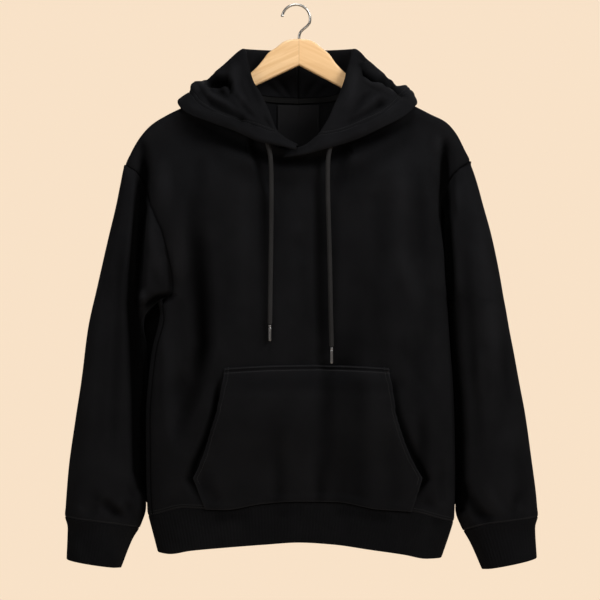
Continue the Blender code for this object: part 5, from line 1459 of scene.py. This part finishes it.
# ---------------------------------------------------------------- finishes
class Wires:
    """Short words for building a node tree; a socket given as a value is linked."""

    def __init__(self, tree):
        self.tree = tree

    def feed(self, node, inputs):
        """Sets or links some of a node's inputs."""
        for name, value in dict(inputs).items():
            if isinstance(value, bpy.types.NodeSocket):
                self.tree.links.new(value, node.inputs[name])
            else:
                node.inputs[name].default_value = value
        return node

    def put(self, kind, inputs=(), **settings):
        """A new node."""
        node = self.tree.nodes.new(kind)
        for name, value in settings.items():
            setattr(node, name, value)
        return self.feed(node, inputs)

    def group(self, tree, **inputs):
        """A node group's outputs."""
        return self.put("ShaderNodeGroup", inputs.items(), node_tree=tree).outputs

    def sum(self, operation, *values):
        """A Math node on numbers or sockets."""
        return self.put("ShaderNodeMath", enumerate(values), operation=operation).outputs[0]

    def blend(self, factor, first, second):
        """Two colours mixed by a factor."""
        return self.put("ShaderNodeMix", {0: factor, 6: first, 7: second}, data_type="RGBA").outputs[2]

    def scaled(self, colour, factor):
        """A colour made lighter or darker."""
        even = self.put("ShaderNodeCombineXYZ", {0: factor, 1: factor, 2: factor}).outputs[0]
        return self.put("ShaderNodeVectorMath", {0: colour, 1: even}, operation="MULTIPLY").outputs[0]

    def spread(self, value, low, high, to_low=0.0, to_high=1.0, **settings):
        """A value carried from one range to another."""
        return self.put("ShaderNodeMapRange", {"Value": value, "From Min": low, "From Max": high, "To Min": to_low,
                                               "To Max": to_high}, **settings).outputs[0]

    def noise(self, vector, scale, detail=2.0, roughness=0.5, distortion=0.0):
        """Cloudy or streaky noise."""
        return self.put("ShaderNodeTexNoise", {"Vector": vector, "Scale": scale, "Detail": detail,
                                               "Roughness": roughness, "Distortion": distortion}).outputs[0]

    def laid(self, vector, scale=(1.0, 1.0, 1.0), turn=(0.0, 0.0, 0.0)):
        """Coordinates stretched or turned for a pattern."""
        return self.put("ShaderNodeMapping", {"Vector": vector, "Scale": scale, "Rotation": turn}).outputs[0]

    def relief(self, height, distance, strength, **inputs):
        """The normal over a bumpy surface."""
        return self.put("ShaderNodeBump", {"Height": height, "Distance": distance, "Strength": strength,
                                           **inputs}).outputs[0]

    def place(self):
        """Where a point is on its piece."""
        return self.put("ShaderNodeTexCoord").outputs["Object"]


def node_group(name, kind, inputs, outputs):
    """A new node group with its sockets; gives its wires, its inputs and its output node."""
    tree = bpy.data.node_groups.new(name, kind)
    for label, sort, value in inputs:
        socket = tree.interface.new_socket(label, in_out="INPUT", socket_type=f"NodeSocket{sort}")
        if value is not None:
            socket.default_value = value
    for label, sort in outputs:
        tree.interface.new_socket(label, in_out="OUTPUT", socket_type=f"NodeSocket{sort}")
    wires = Wires(tree)
    return tree, wires, wires.put("NodeGroupInput").outputs, wires.put("NodeGroupOutput")


def chevron_group():
    """Rows of slanting strands that turn at each column: a knitted face, a herringbone or a braid."""
    tree, w, given, out = node_group("chevrons", "ShaderNodeTree", [
        ("Vector", "Vector", None), ("Column", "Float", 0.001), ("Pitch", "Float", 0.0008),
        ("Slant", "Float", 0.6)], [("Height", "Float"), ("Shade", "Float")])
    place = w.put("ShaderNodeSeparateXYZ", {0: given["Vector"]}).outputs
    across = w.sum("PINGPONG", w.sum("DIVIDE", place[0], given["Column"]), 0.5)
    rise = w.sum("MULTIPLY", across, w.sum("MULTIPLY", given["Slant"], 2.0))
    turns = w.sum("ADD", w.sum("DIVIDE", place[1], given["Pitch"]), rise)
    strand = w.sum("MULTIPLY_ADD", w.sum("SINE", w.sum("MULTIPLY", turns, 2 * math.pi)), 0.5, 0.5)
    furrow = w.sum("SMOOTH_MIN", w.sum("MULTIPLY", across, 3.2), 1.0, 0.4)
    height = w.sum("MULTIPLY", w.sum("MULTIPLY_ADD", strand, 0.7, 0.3), furrow)
    w.feed(out, {"Height": height, "Shade": w.sum("MULTIPLY_ADD", height, 0.6, 0.4)})
    return tree


def nap_group():
    """The nap of cloth: broad patches where it lies differently, and fine fuzz."""
    tree, w, given, out = node_group("nap", "ShaderNodeTree", [
        ("Vector", "Vector", None), ("Patch", "Float", 16.0), ("Fuzz", "Float", 900.0)],
        [("Patches", "Float"), ("Fuzz", "Float")])
    broad = w.noise(given["Vector"], given["Patch"], 3.0, 0.55)
    w.feed(out, {"Patches": w.spread(broad, 0.32, 0.68, interpolation_type="SMOOTHSTEP"),
                 "Fuzz": w.noise(given["Vector"], given["Fuzz"], 4.0, 0.7)})
    return tree


def grain_group():
    """Straight wood grain along X with short darker flecks."""
    tree, w, given, out = node_group("grain", "ShaderNodeTree", [
        ("Vector", "Vector", None), ("Spacing", "Float", 120.0)],
        [("Lines", "Float"), ("Flecks", "Float"), ("Cloud", "Float")])
    lines = w.noise(w.laid(given["Vector"], (0.045, 1.0, 1.0)), given["Spacing"], 5.0, 0.62, 0.35)
    flecks = w.put("ShaderNodeTexVoronoi", {"Vector": w.laid(given["Vector"], (0.16, 1.0, 1.0)),
                                            "Scale": w.sum("MULTIPLY", given["Spacing"], 6.5), "Randomness": 1.0})
    w.feed(out, {"Lines": lines, "Flecks": w.spread(flecks.outputs["Distance"], 0.08, 0.24, 1.0, 0.0),
                 "Cloud": w.noise(given["Vector"], 26.0)})
    return tree


def finish_for(name, roughness, metallic=0.0, **constants):
    """A Principled material; constants are set on the shader's own sockets."""
    finish = bpy.data.materials.new(name)
    finish.use_nodes = True
    w = Wires(finish.node_tree)
    values = {label.replace("_", " "): value for label, value in constants.items()}
    shader = w.feed(finish.node_tree.nodes["Principled BSDF"], {"Roughness": roughness, "Metallic": metallic, **values})
    return finish, w, shader


def cloth_finish(name, dark, light, roughness, sheen, column, pitch, slant, depth, specular=0.12, fuzz=0.00012,
                 stretch=(1.0, 1.0, 1.0)):
    """A cloth: knitted or woven strands in the cloth's own UV, under a soft nap, with painted shade and painted light
    from the press attribute.
    """
    finish, w, shader = finish_for(name, roughness, Specular_IOR_Level=specular, Sheen_Weight=sheen,
                                   Sheen_Roughness=0.42, Sheen_Tint=(0.82, 0.84, 0.9, 1.0))
    own = w.put("ShaderNodeUVMap", uv_map="cloth").outputs[0]
    strands = w.group(CHEVRONS, Vector=w.laid(own, stretch), Column=column, Pitch=pitch, Slant=slant)
    nap = w.group(NAP, Vector=w.place(), Patch=15.0, Fuzz=1100.0)
    tone = w.sum("MULTIPLY_ADD", nap["Patches"], 0.45, w.sum("MULTIPLY", strands["Shade"], 0.55))
    colour = w.scaled(w.blend(tone, (*dark, 1.0), (*light, 1.0)), w.spread(nap["Fuzz"], 0.35, 0.75, 0.82, 1.25))
    # Painted shade: the colour is darkened where the press attribute is above 0, in fold troughs, seams and shadowed
    # spots, and lightened as painted light where it is below 0.
    press = w.put("ShaderNodeAttribute", attribute_name="press").outputs["Fac"]
    painted_shade = w.spread(press, -PAINTED_SHADE_DEPTH, PAINTED_SHADE_DEPTH, 1.0 + PAINTED_SHADE_STRENGTH, 1.0 - PAINTED_SHADE_STRENGTH)
    loft = w.relief(nap["Fuzz"], fuzz, 0.8)
    w.feed(shader, {"Base Color": w.scaled(colour, painted_shade),
                    "Roughness": w.spread(nap["Fuzz"], 0.0, 1.0, roughness - 0.1, roughness + 0.07),
                    "Normal": w.relief(strands["Height"], depth, 0.9, Normal=loft)})
    return finish


def wood_finish():
    """Clear-varnished beech, two arms joined at the middle, each with its own grain."""
    finish, w, shader = finish_for("beech", 0.42, Coat_Weight=0.25, Coat_Roughness=0.22, Specular_IOR_Level=0.4)
    place = w.put("ShaderNodeSeparateXYZ", {0: w.place()}).outputs
    reach = w.sum("ABSOLUTE", w.sum("SUBTRACT", place[0], MIDLINE * MM))
    left = w.sum("GREATER_THAN", place[0], MIDLINE * MM)
    arm = w.put("ShaderNodeCombineXYZ", {0: reach, 1: w.sum("MULTIPLY_ADD", left, 0.37, place[1]), 2: place[2]})
    grain = w.group(GRAIN, Vector=w.laid(arm.outputs[0], turn=(0.0, -0.43, 0.0)), Spacing=150.0)
    lines = w.spread(grain["Lines"], 0.36, 0.64, interpolation_type="SMOOTHSTEP")
    wood = w.blend(lines, (0.72, 0.455, 0.215, 1.0), (0.83, 0.565, 0.305, 1.0))
    for share, tint in ((w.sum("MULTIPLY", grain["Flecks"], 0.16), (0.40, 0.20, 0.085, 1.0)),
                        (w.sum("MULTIPLY", grain["Cloud"], 0.22), (0.90, 0.66, 0.40, 1.0)),
                        (w.sum("MULTIPLY", left, 0.35), (0.80, 0.50, 0.24, 1.0)),
                        (w.spread(reach, 0.00015, 0.0007, 0.55, 0.0), (0.42, 0.24, 0.11, 1.0))):
        wood = w.blend(share, wood, tint)
    pores = w.sum("SUBTRACT", w.sum("MULTIPLY", grain["Lines"], 0.6), w.sum("MULTIPLY", grain["Flecks"], 0.4))
    w.feed(shader, {"Base Color": wood, "Roughness": w.spread(grain["Lines"], 0.0, 1.0, 0.36, 0.52),
                    "Normal": w.relief(pores, 0.00012, 0.5)})
    return finish


def metal_finish(name, dark, light, roughness, streak):
    """Drawn or brushed metal: fine streaks along or round the piece, and a little dulling."""
    finish, w, shader = finish_for(name, roughness, metallic=1.0)
    own = w.put("ShaderNodeUVMap", uv_map="cloth").outputs[0]
    fine = w.noise(w.laid(own, streak), 1.0, 3.0, 0.6)
    tone = w.sum("MULTIPLY_ADD", fine, 0.6, w.sum("MULTIPLY", w.noise(w.place(), 180.0, 4.0), 0.4))
    w.feed(shader, {"Base Color": w.blend(tone, (*dark, 1.0), (*light, 1.0)),
                    "Roughness": w.spread(tone, 0.0, 1.0, roughness - 0.08, roughness + 0.12),
                    "Normal": w.relief(fine, 0.00002, 0.4)})
    return finish


# ---------------------------------------------------------------- studio
CAMERA_PLACE = (0.005, -4.2, -0.447)
VIEW_HALF_WIDTH = 0.456     # of the garment's plane, at the camera's distance
FLOOR_LEVEL = -1.15
FLOOR_HALF_WIDTH = 3.0
FLOOR_NEAR, FLOOR_FAR = -4.0, 1.5
SURROUND = (0.942, 0.760, 0.577, 1.0)
CAST_LIGHT, CAST_STRENGTH = (1.0, 0.95, 0.89, 1.0), 0.07   # what the surround casts on the object
SENSOR_WIDTH = 36.0
LAMP_TINT = (1.0, 0.97, 0.93)
LAMP_AIM = Vector((0.0, 0.0, -0.45))
LAMPS = (("lamp_key", (2.0, -1.9, 1.3), 1.2, 74.0),     # name, place, size, power
         ("lamp_fill", (-2.4, -2.0, 0.5), 1.4, 20.0),
         ("lamp_front", (-0.2, -3.4, 1.4), 1.0, 14.0),
         ("lamp_back", (0.5, 2.4, 0.9), 1.6, 40.0),
         ("lamp_top", (-0.2, -0.9, 1.7), 0.9, 20.0))


def lamp(name, place, size, power):
    """A soft square lamp that looks at the garment's middle."""
    light = bpy.data.lights.new(name, "AREA")
    light.shape, light.size, light.energy, light.color = "SQUARE", size, power, LAMP_TINT
    stand = placed(name, light)
    stand.location = place
    stand.rotation_euler = (LAMP_AIM - Vector(place)).to_track_quat("-Z", "Y").to_euler()


def studio():
    """Camera, soft lights, a plain warm surround and a plain floor."""
    scene = bpy.context.scene
    camera = bpy.data.cameras.new("camera")
    camera.sensor_width = SENSOR_WIDTH
    camera.lens = SENSOR_WIDTH / 2.0 * -CAMERA_PLACE[1] / VIEW_HALF_WIDTH
    camera.clip_end = 40.0
    scene.camera = placed("camera", camera)
    scene.camera.location = CAMERA_PLACE
    scene.camera.rotation_euler = (math.pi / 2.0, 0.0, 0.0)
    scene.view_settings.view_transform = "Standard"
    for row in LAMPS:
        lamp(*row)
    world = scene.world = bpy.data.worlds.new("surround")
    world.use_nodes = True
    world.node_tree.nodes.clear()
    w = Wires(world.node_tree)
    seen = w.put("ShaderNodeBackground", {"Color": SURROUND, "Strength": 1.0})
    cast = w.put("ShaderNodeBackground", {"Color": CAST_LIGHT, "Strength": CAST_STRENGTH})
    ray = w.put("ShaderNodeLightPath").outputs["Is Camera Ray"]
    mixed = w.put("ShaderNodeMixShader", {0: ray, 1: cast.outputs[0], 2: seen.outputs[0]})
    w.put("ShaderNodeOutputWorld", {"Surface": mixed.outputs[0]})
    mesh = bpy.data.meshes.new("floor")
    mesh.from_pydata([(side * FLOOR_HALF_WIDTH, y, FLOOR_LEVEL) for side, y in (
        (-1, FLOOR_NEAR), (1, FLOOR_NEAR), (1, FLOOR_FAR), (-1, FLOOR_FAR))], [], [(0, 1, 2, 3)])
    finish, w, shader = finish_for("pale_floor", 0.8, Specular_IOR_Level=0.2)
    w.feed(shader, {"Base Color": w.blend(w.noise(w.place(), 3.0), (0.78, 0.66, 0.54, 1.0), (0.82, 0.70, 0.58, 1.0))})
    mesh.materials.append(finish)
    placed("floor", mesh)


def build():
    """Every piece, each in place of its node."""
    pieces, cords = {"body_front": dress_panel(FRONT, "body_front"), "body_back": dress_panel(BACK, "body_back")}, {}
    for side in SIDES:
        pieces[f"sleeve_{side}"] = dress_sleeve(side)
        pieces[f"cuff_{side}"] = rib_band(f"cuff_{side}", lambda t: cuff_ring(side, t), CUFF_RIBS)
        pieces[f"hood_{side}"] = dress_hood(side)
        pieces[f"cord_{side}"], *cords[side] = dress_cord(side)
        pieces[f"aglet_{side}"] = dress_aglet(side)
    for name, dress in (("hem_rib", dress_hem), ("pocket", dress_pocket), ("neck_label", dress_label),
                        ("neck_tape", dress_tape), ("hanger_wood", dress_wood), ("hanger_hook", dress_hook)):
        pieces[name] = dress()
    rows = {
        "stitches_hood": [seam_line(f"hood_{side}", "right", distance, first=0.01)
                          for side in SIDES for distance in CASING_STITCHES],
        "stitches_pocket": [seam_line("pocket", "top", distance) for distance in POCKET_TOP_STITCHES]
        + [seam_line("pocket", side, POCKET_SIDE_STITCH, POCKET_SIDE_SEWN) for side in ("left", "right")],
        "stitches_body": [seam_line(f"body_{face}", "bottom", distance) for face in ("front", "back")
                          for distance in BODY_STITCHES]
        + [seam_line(f"sleeve_{side}", "bottom", distance) for side in SIDES for distance in SLEEVE_STITCHES]}
    tree = stitch_tree()
    stitched = [topstitch(name, lines, tree) for name, lines in rows.items()]
    for name, piece in pieces.items():
        piece.name = f"dressed_{name}"
        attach(piece, "root")
        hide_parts(name)
    for piece in stitched:
        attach(piece, "root")
    for side in SIDES:
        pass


studio()
CHEVRONS, NAP, GRAIN = chevron_group(), nap_group(), grain_group()
BLACK_FLEECE = cloth_finish("black_fleece", (0.0049, 0.0051, 0.0059), (0.0083, 0.0086, 0.0099), 0.9, 0.008,
                            0.0011, 0.00085, 0.55, 0.00022, specular=0.01)
BLACK_RIB = cloth_finish("black_rib", (0.0038, 0.0040, 0.0047), (0.0066, 0.0069, 0.0080), 0.9, 0.008,
                         0.0012, 0.0009, 0.55, 0.00022, specular=0.01)
BLACK_TAPE = cloth_finish("black_tape", (0.0023, 0.0023, 0.0026), (0.0046, 0.0047, 0.0051), 0.82, 0.02,
                          0.0036, 0.0009, 2.0, 0.00018)
LABEL_SATIN = cloth_finish("label_satin", (0.0082, 0.0082, 0.0091), (0.0125, 0.0125, 0.0139), 0.8, 0.02,
                           0.0005, 0.0007, 0.3, 0.00006, specular=0.03, fuzz=0.00003)
CORD_GREY = cloth_finish("cord_grey", (0.010, 0.010, 0.0106), (0.023, 0.023, 0.0243), 0.82, 0.03,
                         0.00259, 0.0006, 1.6, 0.00025, stretch=(0.0207, 1.0, 1.0))
THREAD = cloth_finish("black_thread", (0.0100, 0.0106, 0.0122), (0.0180, 0.0190, 0.0215), 0.75, 0.02,
                      0.0004, 0.0004, 0.5, 0.00005, specular=0.25)
BEECH = wood_finish()
AGLET_METAL = metal_finish("aglet_metal", (0.16, 0.16, 0.165), (0.26, 0.26, 0.27), 0.34, (60.0, 900.0, 1.0))
STEEL = metal_finish("hook_steel", (0.46, 0.45, 0.43), (0.66, 0.65, 0.63), 0.24, (60.0, 500.0, 1.0))
build()
